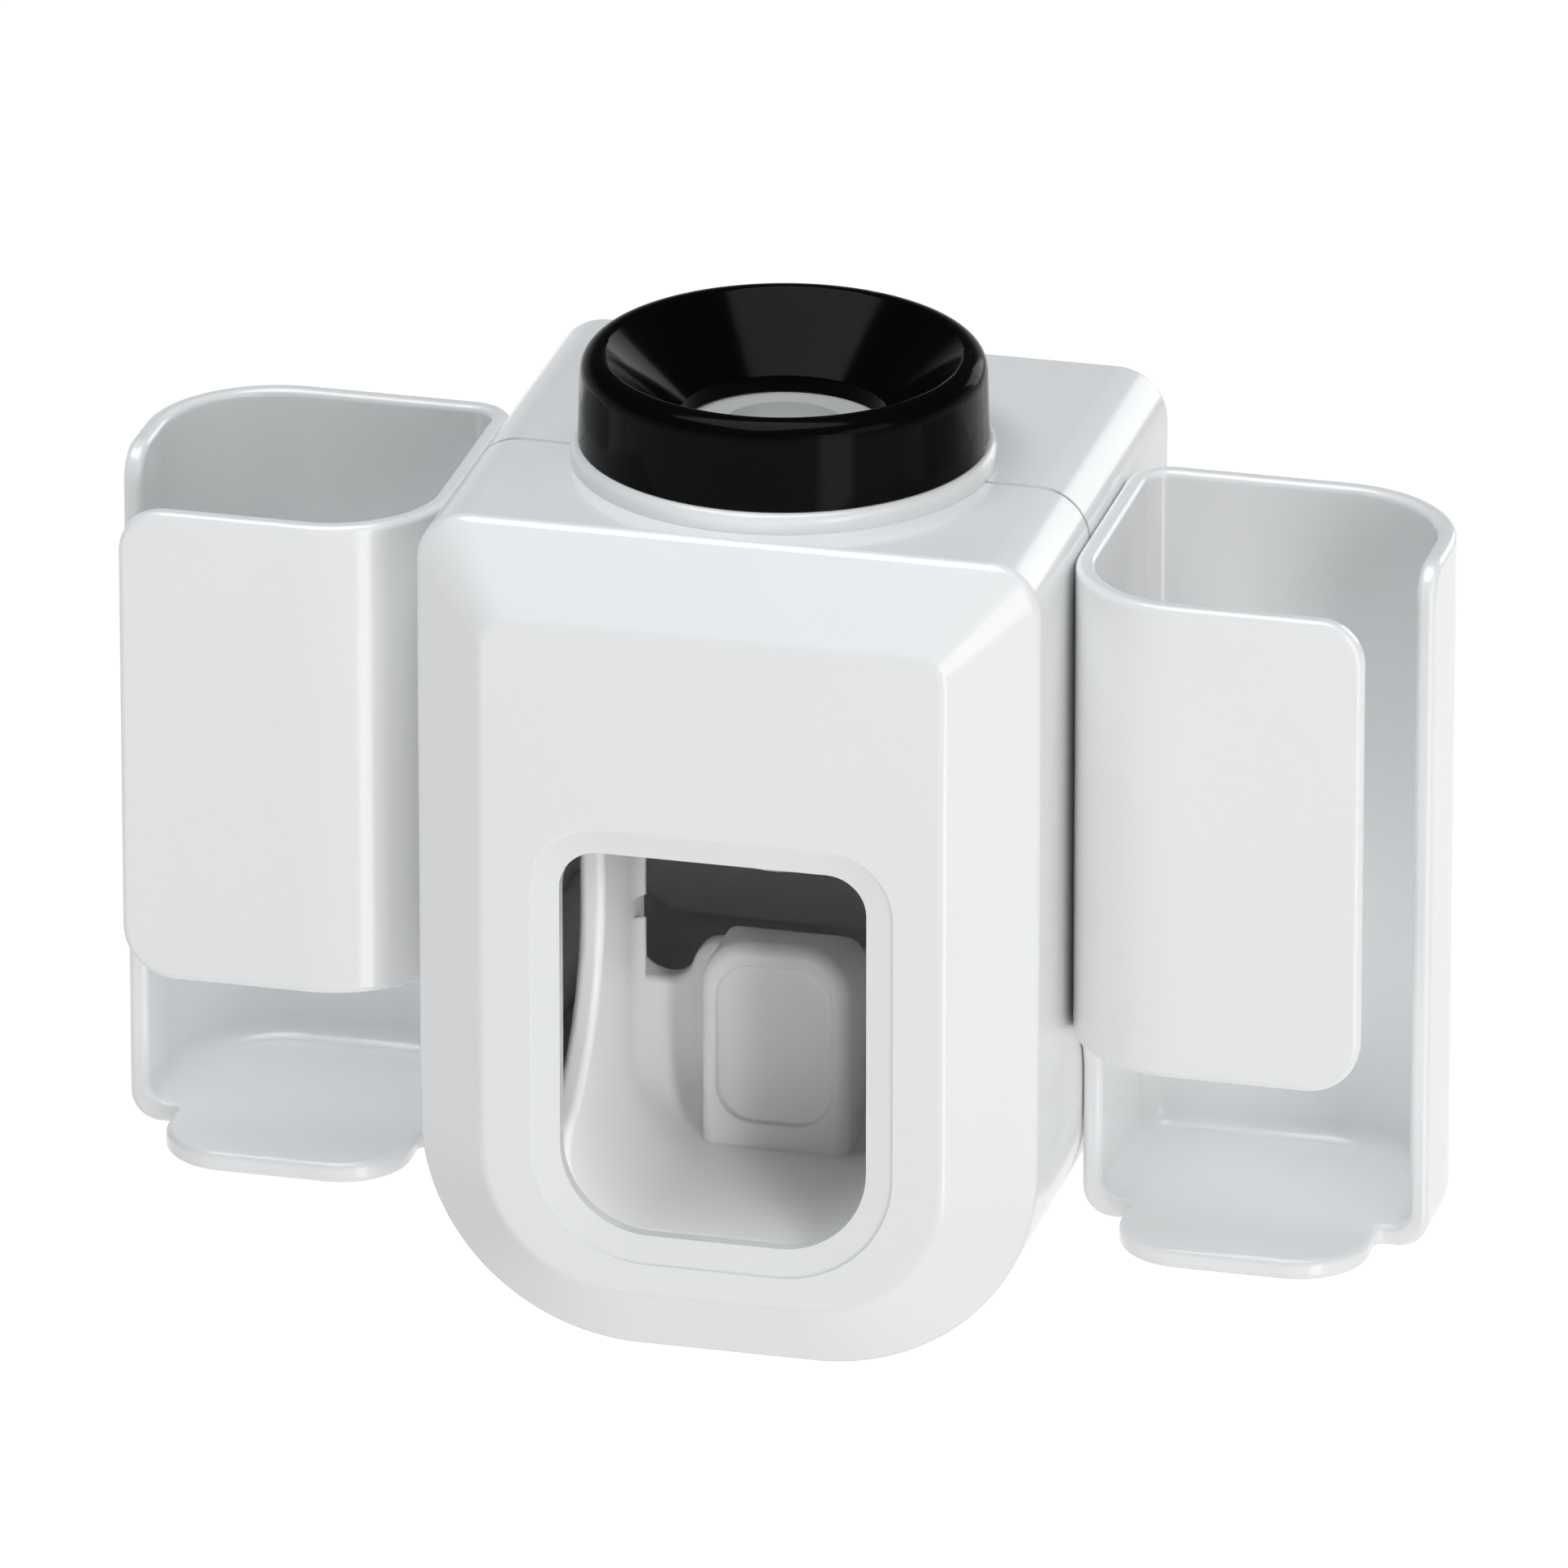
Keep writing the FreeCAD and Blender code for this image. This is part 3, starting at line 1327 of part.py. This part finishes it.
def soften_holder(body):
    """Rounds the rim and the ends of the walls, where the mould leaves no sharp edge."""
    corner = half_width + mm.front_wall_reach
    front_faces = (mm.holder_front, mm.holder_front - mm.holder_wall)

    def is_wall_end(edge):
        round_corner = edge.Curve.TypeId == "Part::GeomCircle"
        return (lies_at(edge, height=mm.holder_top)
                or lies_at(edge, x=corner)
                or lies_at(edge, height=mm.front_wall_bottom)
                or lies_at(edge, depth=mm.side_wall_front)
                or round_corner and any(lies_at(edge, depth=face) for face in front_faces)
                or round_corner and same(edge.Curve.Radius, mm.cutaway_radius))
    round_edges(body, mm.holder_rim_radius, is_wall_end)


def add_holder_hooks(body):
    """Two hooks on the inner wall that drop behind the casing's side."""
    lip_outside = half_width - mm.casing_wall - mm.hook_play
    lip_inside = lip_outside - mm.holder_hook_thickness
    root = holder_inner + mm.holder_wall / 2
    hooks = new_sketch(body, "front", holder_hook_depth - mm.holder_hook_width / 2)
    for neck_low in (mm.holder_hook_low, mm.holder_hook_high):
        neck_high = neck_low + mm.holder_hook_neck
        add_outline(hooks, [
            (root, neck_low),
            (root, neck_high),
            (lip_inside, neck_high),
            (lip_inside, neck_low - mm.holder_hook_lip),
            (lip_outside, neck_low - mm.holder_hook_lip),
            (lip_outside, neck_low),
        ])
    pad(body, hooks, mm.holder_hook_width)


def make_left_holder(right):
    made = doc.addObject("Part::Mirroring", "left_brush_holder")
    made.Label = "left_brush_holder"
    made.Source = right
    made.Normal = Vector(1, 0, 0)
    return made


# Building, checking and writing every piece

right_holder = make_right_holder()
PIECES = [
    make_adhesive_pad(), make_wall_plate(), make_rear_casing(), make_front_casing(), make_casing_screws(),
    make_pump_barrel(), make_barrel_cap(), make_tube_ring(), make_inlet_seal(), make_inlet_valve(),
    make_pump_stem(), make_piston_head(), make_piston_seal(), make_nozzle_tip(), make_outlet_valve(),
    make_return_spring(), make_push_lever(), make_lever_pins(), right_holder, make_left_holder(right_holder),
]
doc.recompute()

for thing in doc.Objects:
    if "Invalid" in thing.State or "Error" in thing.State:
        raise RuntimeError(f"{thing.Name} failed: {thing.State}")
for piece in PIECES:
    if piece.Shape.isNull() or not piece.Shape.isValid():
        raise RuntimeError(f"{piece.Label} has no valid shape")

os.makedirs("parts", exist_ok=True)
for piece in PIECES:
    piece.Shape.exportStep(f"parts/{piece.Label}.step")
    box = piece.Shape.BoundBox
    print(f"{piece.Label}: {len(piece.Shape.Solids)} solid, {piece.Shape.Volume / 1000:.2f} cm3, "
          f"{box.XLength:.1f} x {box.YLength:.1f} x {box.ZLength:.1f} mm")
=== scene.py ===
# %% [markdown]
# Toothpaste dispenser for the bathroom wall. A white pump housing carries a black tube ring on top,
# a push lever behind a framed window, and a brush holder on each side. The solids come from CAD as a
# fixed frame in metres, with +X to the right, +Z up and the wall at Y = 0. This lesson gives them a
# camera, light, finishes and the one piece that has to change its shape, the return spring.

# %% Load the frame
import math

import bmesh
import bpy
from mathutils import Matrix, Vector


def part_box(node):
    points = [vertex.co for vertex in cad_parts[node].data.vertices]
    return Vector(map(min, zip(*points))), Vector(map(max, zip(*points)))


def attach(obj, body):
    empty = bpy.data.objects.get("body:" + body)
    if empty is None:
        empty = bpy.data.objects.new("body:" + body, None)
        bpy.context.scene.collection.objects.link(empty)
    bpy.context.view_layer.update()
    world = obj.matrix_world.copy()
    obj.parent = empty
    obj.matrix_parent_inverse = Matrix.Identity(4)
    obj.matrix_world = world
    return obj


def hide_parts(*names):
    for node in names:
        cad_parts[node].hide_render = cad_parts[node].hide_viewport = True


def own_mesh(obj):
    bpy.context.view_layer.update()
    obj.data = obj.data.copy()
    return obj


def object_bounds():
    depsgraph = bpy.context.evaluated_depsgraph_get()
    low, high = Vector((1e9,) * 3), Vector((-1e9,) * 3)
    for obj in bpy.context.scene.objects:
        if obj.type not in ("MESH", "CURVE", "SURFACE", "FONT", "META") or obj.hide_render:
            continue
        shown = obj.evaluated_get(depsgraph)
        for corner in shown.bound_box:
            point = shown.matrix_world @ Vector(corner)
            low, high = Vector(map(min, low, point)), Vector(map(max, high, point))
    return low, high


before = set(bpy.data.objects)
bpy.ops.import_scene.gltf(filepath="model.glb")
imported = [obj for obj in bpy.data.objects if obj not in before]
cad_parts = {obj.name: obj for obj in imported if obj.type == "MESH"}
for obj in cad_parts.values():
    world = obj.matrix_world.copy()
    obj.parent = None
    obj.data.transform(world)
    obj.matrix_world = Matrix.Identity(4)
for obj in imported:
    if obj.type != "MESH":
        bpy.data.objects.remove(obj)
cad_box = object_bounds()
MM = 0.001

# %% [markdown]
# The photograph looks at the dispenser from its right and from above, through a long lens that keeps
# parallel edges nearly parallel. A camera far away with a narrow angle does the same. Azimuth turns
# round the upright axis and elevation tips down, so two angles and one aim point place the camera.

# %% Camera
AZIMUTH = math.radians(14.17)
ELEVATION = math.radians(22.5)
LENS_MM = 500.0
SENSOR_MM = 36.0
PICTURE_WIDTH = 173.1 * MM
AIM_RIGHT = 0.39 * MM
AIM_UP = 7.66 * MM

towards_camera = Vector((
    math.sin(AZIMUTH) * math.cos(ELEVATION),
    -math.cos(AZIMUTH) * math.cos(ELEVATION),
    math.sin(ELEVATION),
))
picture_right = Vector((math.cos(AZIMUTH), math.sin(AZIMUTH), 0.0))
picture_up = towards_camera.cross(picture_right)
mid_housing = Vector((0.0, -39.2, -8.0)) * MM
aim = mid_housing + picture_right * AIM_RIGHT + picture_up * AIM_UP

camera_data = bpy.data.cameras.new("photo_camera")
camera_data.lens = LENS_MM
camera_data.sensor_width = SENSOR_MM
camera = bpy.data.objects.new("photo_camera", camera_data)
bpy.context.scene.collection.objects.link(camera)
camera.location = aim + towards_camera * (PICTURE_WIDTH * LENS_MM / SENSOR_MM)
camera.rotation_euler = (math.pi / 2 - ELEVATION, 0.0, AZIMUTH)
bpy.context.scene.camera = camera
bpy.context.scene.view_settings.view_transform = "Standard"
print("camera is", round(camera.location.length, 3), "m from the wall mount")

# %% [markdown]
# Every finish is a tree of shader nodes. Three small functions keep the trees short: they add a node
# and wire it up, find the main shader of a material, and start a new material.


# %% Node helpers
def add_node(tree, kind, inputs=None, **settings):
    """Adds a shader node, sets its options, and feeds its inputs with values or other sockets."""
    made = tree.nodes.new(kind)
    for name, value in settings.items():
        setattr(made, name, value)
    for name, value in (inputs or {}).items():
        if isinstance(value, bpy.types.NodeSocket):
            tree.links.new(value, made.inputs[name])
        else:
            made.inputs[name].default_value = value
    return made


def shader_of(material):
    """The main shader node of a material."""
    return material.node_tree.nodes["Principled BSDF"]


def new_material(name):
    """Starts a material, and gives its node tree and main shader with it."""
    material = bpy.data.materials.new(name)
    material.use_nodes = True
    return material, material.node_tree, shader_of(material)


# %% [markdown]
# The floor lies well below, because the dispenser hangs on a wall. It glows more the further out it is:
# it goes white behind the object and throws little light up at it.

# %% Floor
FLOOR_DROP = 0.9
FLOOR_HALF = 6.0
NEAR_GLOW = 0.26
FAR_GLOW = 0.96
GLOW_START = 0.9
GLOW_END = 1.9
MOTTLE_SCALE = 3.0
PAPER_DARK = (0.93, 0.93, 0.93, 1.0)
PAPER_LIGHT = (0.96, 0.96, 0.96, 1.0)
PAPER_ROUGHNESS = 0.9
WITHOUT_HEIGHT = (1.0, 1.0, 0.0)

floor_level = cad_box[0][2] - FLOOR_DROP
floor_mesh = bpy.data.meshes.new("studio_floor")
shape = bmesh.new()
bmesh.ops.create_grid(shape, x_segments=2, y_segments=2, size=FLOOR_HALF)
bmesh.ops.translate(shape, verts=shape.verts, vec=(0.0, 0.0, floor_level))
shape.to_mesh(floor_mesh)
shape.free()
floor = bpy.data.objects.new("studio_floor", floor_mesh)
bpy.context.scene.collection.objects.link(floor)

paper, tree, shader = new_material("white_paper_sweep")
place = add_node(tree, "ShaderNodeTexCoord").outputs["Object"]
mottle = add_node(tree, "ShaderNodeTexNoise", {"Vector": place, "Scale": MOTTLE_SCALE, "Detail": 2.0})
tone = add_node(tree, "ShaderNodeValToRGB", {"Fac": mottle.outputs["Fac"]})
tone.color_ramp.elements[0].color = PAPER_DARK
tone.color_ramp.elements[1].color = PAPER_LIGHT
tree.links.new(tone.outputs["Color"], shader.inputs["Base Color"])
shader.inputs["Roughness"].default_value = PAPER_ROUGHNESS
shader.inputs["Emission Color"].default_value = (1.0, 1.0, 1.0, 1.0)
level = add_node(tree, "ShaderNodeVectorMath", {0: place, 1: WITHOUT_HEIGHT}, operation="MULTIPLY")
reach = add_node(tree, "ShaderNodeVectorMath", {0: level.outputs["Vector"]}, operation="LENGTH")
glow = add_node(tree, "ShaderNodeMapRange", {
    "Value": reach.outputs["Value"], "From Min": GLOW_START, "From Max": GLOW_END,
    "To Min": NEAR_GLOW, "To Max": FAR_GLOW,
})
tree.links.new(glow.outputs["Result"], shader.inputs["Emission Strength"])
floor_mesh.materials.append(paper)
print("floor at", round(floor_level, 3), "m")

# %% [markdown]
# A white product in a white studio is lit by large soft sources. One broad panel hangs over the
# object, tall ones stand in front on the right, a small one looks down from the right, and one at the
# back draws a glint in the black ring, so each face turns a slightly different grey. The last panel
# lights only the lever behind the window, as a photographer would with a mirror.


# %% Soft light
def add_panel_light(name, place, width, height, power, colour=(1.0, 1.0, 1.0)):
    """A soft box of its own width and height that faces the middle of the housing."""
    data = bpy.data.lights.new(name, "AREA")
    data.shape = "RECTANGLE"
    data.size = width
    data.size_y = height
    data.energy = power
    data.color = colour
    lamp = bpy.data.objects.new(name, data)
    bpy.context.scene.collection.objects.link(lamp)
    lamp.location = place
    lamp.rotation_euler = (mid_housing - Vector(place)).to_track_quat("-Z", "Y").to_euler()
    return lamp


add_panel_light("overhead_panel", (-0.1, -0.15, 1.0), width=0.8, height=0.8, power=8.2,
                colour=(0.95, 0.985, 1.0))
add_panel_light("tall_right_panel", (0.88, -0.98, -0.05), width=0.4, height=1.4, power=4.3)
add_panel_light("high_right_panel", (1.0, -0.5, 0.55), width=0.5, height=0.5, power=1.3)
add_panel_light("front_panel", (0.62, -1.2, 0.2), width=0.4, height=1.0, power=0.5)
add_panel_light("back_strip", (0.46, 1.07, 0.27), width=0.5, height=0.5, power=1.5)
window_panel = add_panel_light("window_panel", (0.82, -0.92, 0.42), width=0.4, height=0.5, power=6.0)
lever_alone = bpy.data.collections.new("lever_alone")
lever_alone.objects.link(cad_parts["push_lever"])
window_panel.light_linking.receiver_collection = lever_alone

# %% [markdown]
# The studio's walls are bright near the horizon and fade towards a dark ceiling. The upward part of the
# direction, Z, drives the strength of the world's light.

# %% Studio air
HORIZON_GLOW = 0.66
CEILING_GLOW = 0.04
FADE_HEIGHT = 0.3
AIR_COLOUR = (0.97, 0.985, 1.0, 1.0)

world = bpy.data.worlds.new("studio_air")
world.use_nodes = True
bpy.context.scene.world = world
air = world.node_tree.nodes["Background"]
air.inputs["Color"].default_value = AIR_COLOUR
direction = add_node(world.node_tree, "ShaderNodeTexCoord").outputs["Generated"]
rise = add_node(world.node_tree, "ShaderNodeSeparateXYZ", {"Vector": direction})
fade = add_node(world.node_tree, "ShaderNodeMapRange", {
    "Value": rise.outputs["Z"], "From Min": 0.0, "From Max": FADE_HEIGHT,
    "To Min": HORIZON_GLOW, "To Max": CEILING_GLOW,
})
world.node_tree.links.new(fade.outputs["Result"], air.inputs["Strength"])
print("air glows from", CEILING_GLOW, "to", HORIZON_GLOW)

# %% [markdown]
# Injection-moulded plastic is never quite flat: the polished tool leaves a faint orange peel a few
# millimetres wide, the colour drifts a little with the flow of the melt, and handling changes the
# gloss from place to place. Noise on Object coordinates gives all three at real scale, because the
# coordinates are metres and a scale of 420 puts 420 waves in each.

# %% Moulded plastic
FLOW_SCALE = 28.0
HANDLING_SCALE = 90.0
PEEL_SCALE = 420.0
PEEL_STRENGTH = 0.5
GRAIN_SCALE = 3200.0
GRAIN_STRENGTH = 0.35
PEEL_OVER_GRAIN = 6
NOISE_LOW = 0.3
NOISE_HIGH = 0.7
COAT_ROUGHNESS = 0.08
EDGE_SAMPLES = 6


def moulded_plastic(name, light, dark, roughness, gloss_drift, peel, coat=0.0, soft_edge=0.0):
    """Plastic with drifting colour and gloss, an orange peel, and if wanted a clear coat and soft edges."""
    material, tree, shader = new_material(name)
    place = add_node(tree, "ShaderNodeTexCoord").outputs["Object"]
    flow = add_node(tree, "ShaderNodeTexNoise", {"Vector": place, "Scale": FLOW_SCALE, "Detail": 4.0})
    tone = add_node(tree, "ShaderNodeValToRGB", {"Fac": flow.outputs["Fac"]})
    tone.color_ramp.elements[0].position = NOISE_LOW
    tone.color_ramp.elements[0].color = (*dark, 1.0)
    tone.color_ramp.elements[1].position = NOISE_HIGH
    tone.color_ramp.elements[1].color = (*light, 1.0)
    tree.links.new(tone.outputs["Color"], shader.inputs["Base Color"])
    handled = add_node(tree, "ShaderNodeTexNoise", {
        "Vector": place, "Scale": HANDLING_SCALE, "Detail": 5.0})
    gloss = add_node(tree, "ShaderNodeMapRange", {
        "Value": handled.outputs["Fac"],
        "From Min": NOISE_LOW, "From Max": NOISE_HIGH,
        "To Min": roughness - gloss_drift, "To Max": roughness + gloss_drift,
    })
    tree.links.new(gloss.outputs["Result"], shader.inputs["Roughness"])
    orange = add_node(tree, "ShaderNodeTexNoise", {"Vector": place, "Scale": PEEL_SCALE, "Detail": 1.0})
    waves = add_node(tree, "ShaderNodeBump", {
        "Height": orange.outputs["Fac"], "Strength": PEEL_STRENGTH, "Distance": peel})
    if soft_edge:
        rounded = add_node(tree, "ShaderNodeBevel", {"Radius": soft_edge}, samples=EDGE_SAMPLES)
        tree.links.new(rounded.outputs["Normal"], waves.inputs["Normal"])
    fine = add_node(tree, "ShaderNodeTexNoise", {"Vector": place, "Scale": GRAIN_SCALE, "Detail": 2.0})
    grain = add_node(tree, "ShaderNodeBump", {
        "Height": fine.outputs["Fac"], "Strength": GRAIN_STRENGTH,
        "Distance": peel / PEEL_OVER_GRAIN, "Normal": waves.outputs["Normal"],
    })
    tree.links.new(grain.outputs["Normal"], shader.inputs["Normal"])
    shader.inputs["Coat Weight"].default_value = coat
    shader.inputs["Coat Roughness"].default_value = COAT_ROUGHNESS
    return material


def finish_nodes(material, *nodes):
    """Puts a material on every slot of the named CAD nodes."""
    for node in nodes:
        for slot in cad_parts[node].material_slots:
            slot.material = material
    print(material.name, "on", ", ".join(nodes))


# %% [markdown]
# The housing, the holders and the lever are moulded from the same white plastic, each in its own tool.
# A slightly different gloss keeps them apart: the housing and the holders are polished, the lever is
# satin, and what nobody sees inside the pump is left matt. Where the two shells of the housing meet,
# the colour darkens close to the plane of the seam: painted shade for the fine groove.

# %% Housing white
# A dark band of painted shade along the seam groove, set by distance from the seam's plane.
SEAM_Y = -39.7 * MM
SEAM_SHADE_CORE = 0.12 * MM
SEAM_SHADE_EDGE = 0.42 * MM
SEAM_SHADE_COLOUR = (0.45, 0.46, 0.47, 1.0)

housing_white = moulded_plastic(
    "housing_white_gloss", light=(0.94, 0.945, 0.95), dark=(0.93, 0.935, 0.94),
    roughness=0.2, gloss_drift=0.03, peel=0.02 * MM, coat=0.35)
tree = housing_white.node_tree
base_colour = shader_of(housing_white).inputs["Base Color"]
unshaded_white = base_colour.links[0].from_socket
place = add_node(tree, "ShaderNodeTexCoord").outputs["Object"]
sides = add_node(tree, "ShaderNodeSeparateXYZ", {"Vector": place})
behind = add_node(tree, "ShaderNodeMath", {0: sides.outputs["Y"], 1: SEAM_Y}, operation="SUBTRACT")
away = add_node(tree, "ShaderNodeMath", {0: behind.outputs["Value"]}, operation="ABSOLUTE")
seam_shade = add_node(tree, "ShaderNodeMapRange", {
    "Value": away.outputs["Value"], "From Min": SEAM_SHADE_CORE, "From Max": SEAM_SHADE_EDGE,
    "To Min": 1.0, "To Max": 0.0,
})
seam_shaded = add_node(tree, "ShaderNodeMixRGB", {
    "Fac": seam_shade.outputs["Result"], "Color1": unshaded_white, "Color2": SEAM_SHADE_COLOUR})
tree.links.new(seam_shaded.outputs["Color"], base_colour)
finish_nodes(housing_white, "front_casing", "rear_casing")

# %% [markdown]
# The rim of the lever's sunk panel and a few more of its edges are sharp in the CAD. A bevel in the
# shading alone softens them by half a millimetre, as moulded edges are, and leaves the mesh as it is.

# %% Holders, lever, collar, pump and wall plate
holder_white = moulded_plastic(
    "holder_white_gloss", light=(0.94, 0.945, 0.95), dark=(0.93, 0.935, 0.94),
    roughness=0.18, gloss_drift=0.03, peel=0.02 * MM, coat=0.4)
finish_nodes(holder_white, "right_brush_holder", "left_brush_holder")
# The lever's white is a little greyer than the housing's: painted shade for its place behind the window.
lever_grey_shaded = moulded_plastic(
    "lever_satin_painted_shade", light=(0.91, 0.91, 0.915), dark=(0.9, 0.9, 0.905),
    roughness=0.4, gloss_drift=0.04, peel=0.006 * MM, soft_edge=0.5 * MM)
finish_nodes(lever_grey_shaded, "push_lever")
collar_white = moulded_plastic(
    "collar_white_gloss", light=(0.95, 0.955, 0.96), dark=(0.94, 0.945, 0.95),
    roughness=0.19, gloss_drift=0.03, peel=0.02 * MM, coat=0.35)
finish_nodes(collar_white, "pump_barrel")
pump_white = moulded_plastic(
    "pump_white_matt", light=(0.82, 0.825, 0.83), dark=(0.78, 0.785, 0.79),
    roughness=0.42, gloss_drift=0.05, peel=0.03 * MM)
finish_nodes(pump_white, "barrel_cap", "pump_stem", "piston_head", "nozzle_tip")
plate_white = moulded_plastic(
    "wall_plate_white_matt", light=(0.82, 0.825, 0.83), dark=(0.785, 0.79, 0.8),
    roughness=0.45, gloss_drift=0.05, peel=0.04 * MM)
finish_nodes(plate_white, "wall_plate")

# %% [markdown]
# The tube ring is the one dark piece, polished black. On black plastic only the gloss shows, so its
# detail is in the reflections: the orange peel bends them a little, and the gloss drifts where fingers
# turn the ring. A low specular level keeps the funnel as dark as in the photograph.

# %% Ring black
RING_SPECULAR = 0.05

ring_black = moulded_plastic(
    "ring_black_polished", light=(0.003, 0.003, 0.0032), dark=(0.002, 0.002, 0.0022),
    roughness=0.14, gloss_drift=0.03, peel=0.012 * MM)
shader_of(ring_black).inputs["Specular IOR Level"].default_value = RING_SPECULAR
finish_nodes(ring_black, "tube_ring")

# %% [markdown]
# Silicone is softer to the light than hard plastic: some of it enters and comes out again a little
# further on, which blurs small shadows. A touch of subsurface light and a broad matt sheen show that.

# %% Silicone
LIGHT_LET_IN = 0.25
LIGHT_REACH = 0.8 * MM
REACH_BY_COLOUR = (1.0, 0.9, 0.8)

silicone = moulded_plastic(
    "silicone_milky", light=(0.6, 0.6, 0.597), dark=(0.57, 0.57, 0.567),
    roughness=0.4, gloss_drift=0.05, peel=0.03 * MM)
shader = shader_of(silicone)
shader.inputs["Subsurface Weight"].default_value = LIGHT_LET_IN
shader.inputs["Subsurface Radius"].default_value = REACH_BY_COLOUR
shader.inputs["Subsurface Scale"].default_value = LIGHT_REACH
finish_nodes(silicone, "inlet_seal", "inlet_valve", "piston_seal", "outlet_valve")

# %% [markdown]
# Spring wire, screws and pins are bright steel. Drawn and turned metal has fine lines, so the noise is
# stretched along one axis, and it changes both the gloss and the bump.

# %% Steel
LINE_SCALE = 1500.0
LINE_SHADE = 0.8
LINE_GLOSS = (0.2, 0.42)
RIDGE_STRENGTH = 0.3
RIDGE_HEIGHT = 0.01 * MM


def drawn_steel(name, tint, stretch):
    """Bright metal with fine lines along the axis that the stretch leaves long."""
    material, tree, shader = new_material(name)
    place = add_node(tree, "ShaderNodeTexCoord").outputs["Object"]
    lines_place = add_node(tree, "ShaderNodeMapping", {"Vector": place, "Scale": stretch})
    lines = add_node(tree, "ShaderNodeTexNoise", {
        "Vector": lines_place.outputs["Vector"], "Scale": LINE_SCALE, "Detail": 4.0})
    tone = add_node(tree, "ShaderNodeValToRGB", {"Fac": lines.outputs["Fac"]})
    tone.color_ramp.elements[0].color = (*(part * LINE_SHADE for part in tint), 1.0)
    tone.color_ramp.elements[1].color = (*tint, 1.0)
    tree.links.new(tone.outputs["Color"], shader.inputs["Base Color"])
    gloss = add_node(tree, "ShaderNodeMapRange", {
        "Value": lines.outputs["Fac"], "To Min": LINE_GLOSS[0], "To Max": LINE_GLOSS[1]})
    tree.links.new(gloss.outputs["Result"], shader.inputs["Roughness"])
    ridges = add_node(tree, "ShaderNodeBump", {
        "Height": lines.outputs["Fac"], "Strength": RIDGE_STRENGTH, "Distance": RIDGE_HEIGHT})
    tree.links.new(ridges.outputs["Normal"], shader.inputs["Normal"])
    shader.inputs["Metallic"].default_value = 1.0
    return material


screw_steel = drawn_steel("screw_plated_steel", tint=(0.62, 0.62, 0.64), stretch=(1.0, 0.08, 1.0))
finish_nodes(screw_steel, "casing_screws")
pin_steel = drawn_steel("pin_ground_steel", tint=(0.68, 0.68, 0.7), stretch=(0.08, 1.0, 1.0))
finish_nodes(pin_steel, "lever_pins")

# %% [markdown]
# The pad that holds the dispenser to the tiles is foam tape. Its cut sides show cells about a third of
# a millimetre wide, which a Voronoi pattern gives as bump and as painted shade in the pores.

# %% Foam tape
CELL_SCALE = 2600.0
PORE_SHADE_COLOUR = (0.62, 0.62, 0.6, 1.0)
FOAM_COLOUR = (0.84, 0.84, 0.82, 1.0)
PORE_WIDTH = 0.55
PORE_STRENGTH = 0.6
PORE_DEPTH = 0.1 * MM
FOAM_ROUGHNESS = 0.85

foam, tree, shader = new_material("foam_tape_white")
place = add_node(tree, "ShaderNodeTexCoord").outputs["Object"]
cells = add_node(tree, "ShaderNodeTexVoronoi", {"Vector": place, "Scale": CELL_SCALE})
# Painted shade darkens the pores.
tone = add_node(tree, "ShaderNodeValToRGB", {"Fac": cells.outputs["Distance"]})
tone.color_ramp.elements[0].color = PORE_SHADE_COLOUR
tone.color_ramp.elements[1].color = FOAM_COLOUR
tone.color_ramp.elements[1].position = PORE_WIDTH
tree.links.new(tone.outputs["Color"], shader.inputs["Base Color"])
pores = add_node(tree, "ShaderNodeBump", {
    "Height": cells.outputs["Distance"], "Strength": PORE_STRENGTH, "Distance": PORE_DEPTH})
tree.links.new(pores.outputs["Normal"], shader.inputs["Normal"])
shader.inputs["Roughness"].default_value = FOAM_ROUGHNESS
finish_nodes(foam, "adhesive_pad")

# %% [markdown]
# The return spring closes up when the lever lifts the piston, which a rigid solid can't do. So a coil
# of its own stands for the CAD spring: a small circle of wire, spun round the pump's axis while it
# climbs. The spin operator does both at once when its dvec lifts every step. The four-sided faces along
# the wire are shaded smooth and its two cut ends flat.

# %% Return spring
WIRE_RADIUS = 0.45 * MM
TURNS = 4
STEPS_PER_TURN = 48
WIRE_SIDES = 14

spring_low, spring_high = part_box("return_spring")
axis_y = (spring_low[1] + spring_high[1]) / 2
coil_radius = (spring_high[0] - spring_low[0]) / 2 - WIRE_RADIUS
climb = spring_high[2] - spring_low[2] - WIRE_RADIUS * 2
start = Vector((coil_radius, axis_y, spring_low[2] + WIRE_RADIUS))
steps = TURNS * STEPS_PER_TURN

shape = bmesh.new()
section = bmesh.ops.create_circle(shape, segments=WIRE_SIDES, radius=WIRE_RADIUS, cap_ends=False)["verts"]
bmesh.ops.rotate(shape, verts=section, cent=(0.0, 0.0, 0.0),
                 matrix=Matrix.Rotation(math.pi / 2, 3, "X"))
bmesh.ops.translate(shape, verts=section, vec=start)
bmesh.ops.spin(shape, geom=shape.verts[:] + shape.edges[:], cent=(0.0, axis_y, 0.0), axis=(0.0, 0.0, 1.0),
               dvec=(0.0, 0.0, climb / steps), angle=math.tau * TURNS, steps=steps)
ends = [edge for edge in shape.edges if edge.is_boundary]
bmesh.ops.holes_fill(shape, edges=ends, sides=WIRE_SIDES)
bmesh.ops.recalc_face_normals(shape, faces=shape.faces)
for face in shape.faces:
    face.smooth = len(face.verts) == 4
coil_mesh = bpy.data.meshes.new("spring_coil")
shape.to_mesh(coil_mesh)
shape.free()
coil = bpy.data.objects.new("spring_coil", coil_mesh)
bpy.context.scene.collection.objects.link(coil)
spring_wire = drawn_steel("spring_drawn_wire", tint=(0.66, 0.66, 0.68), stretch=(1.0, 1.0, 0.2))
coil_mesh.materials.append(spring_wire)
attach(coil, "casing")
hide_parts("return_spring")
print("coil faces:", len(coil_mesh.polygons))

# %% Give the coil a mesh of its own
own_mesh(coil)
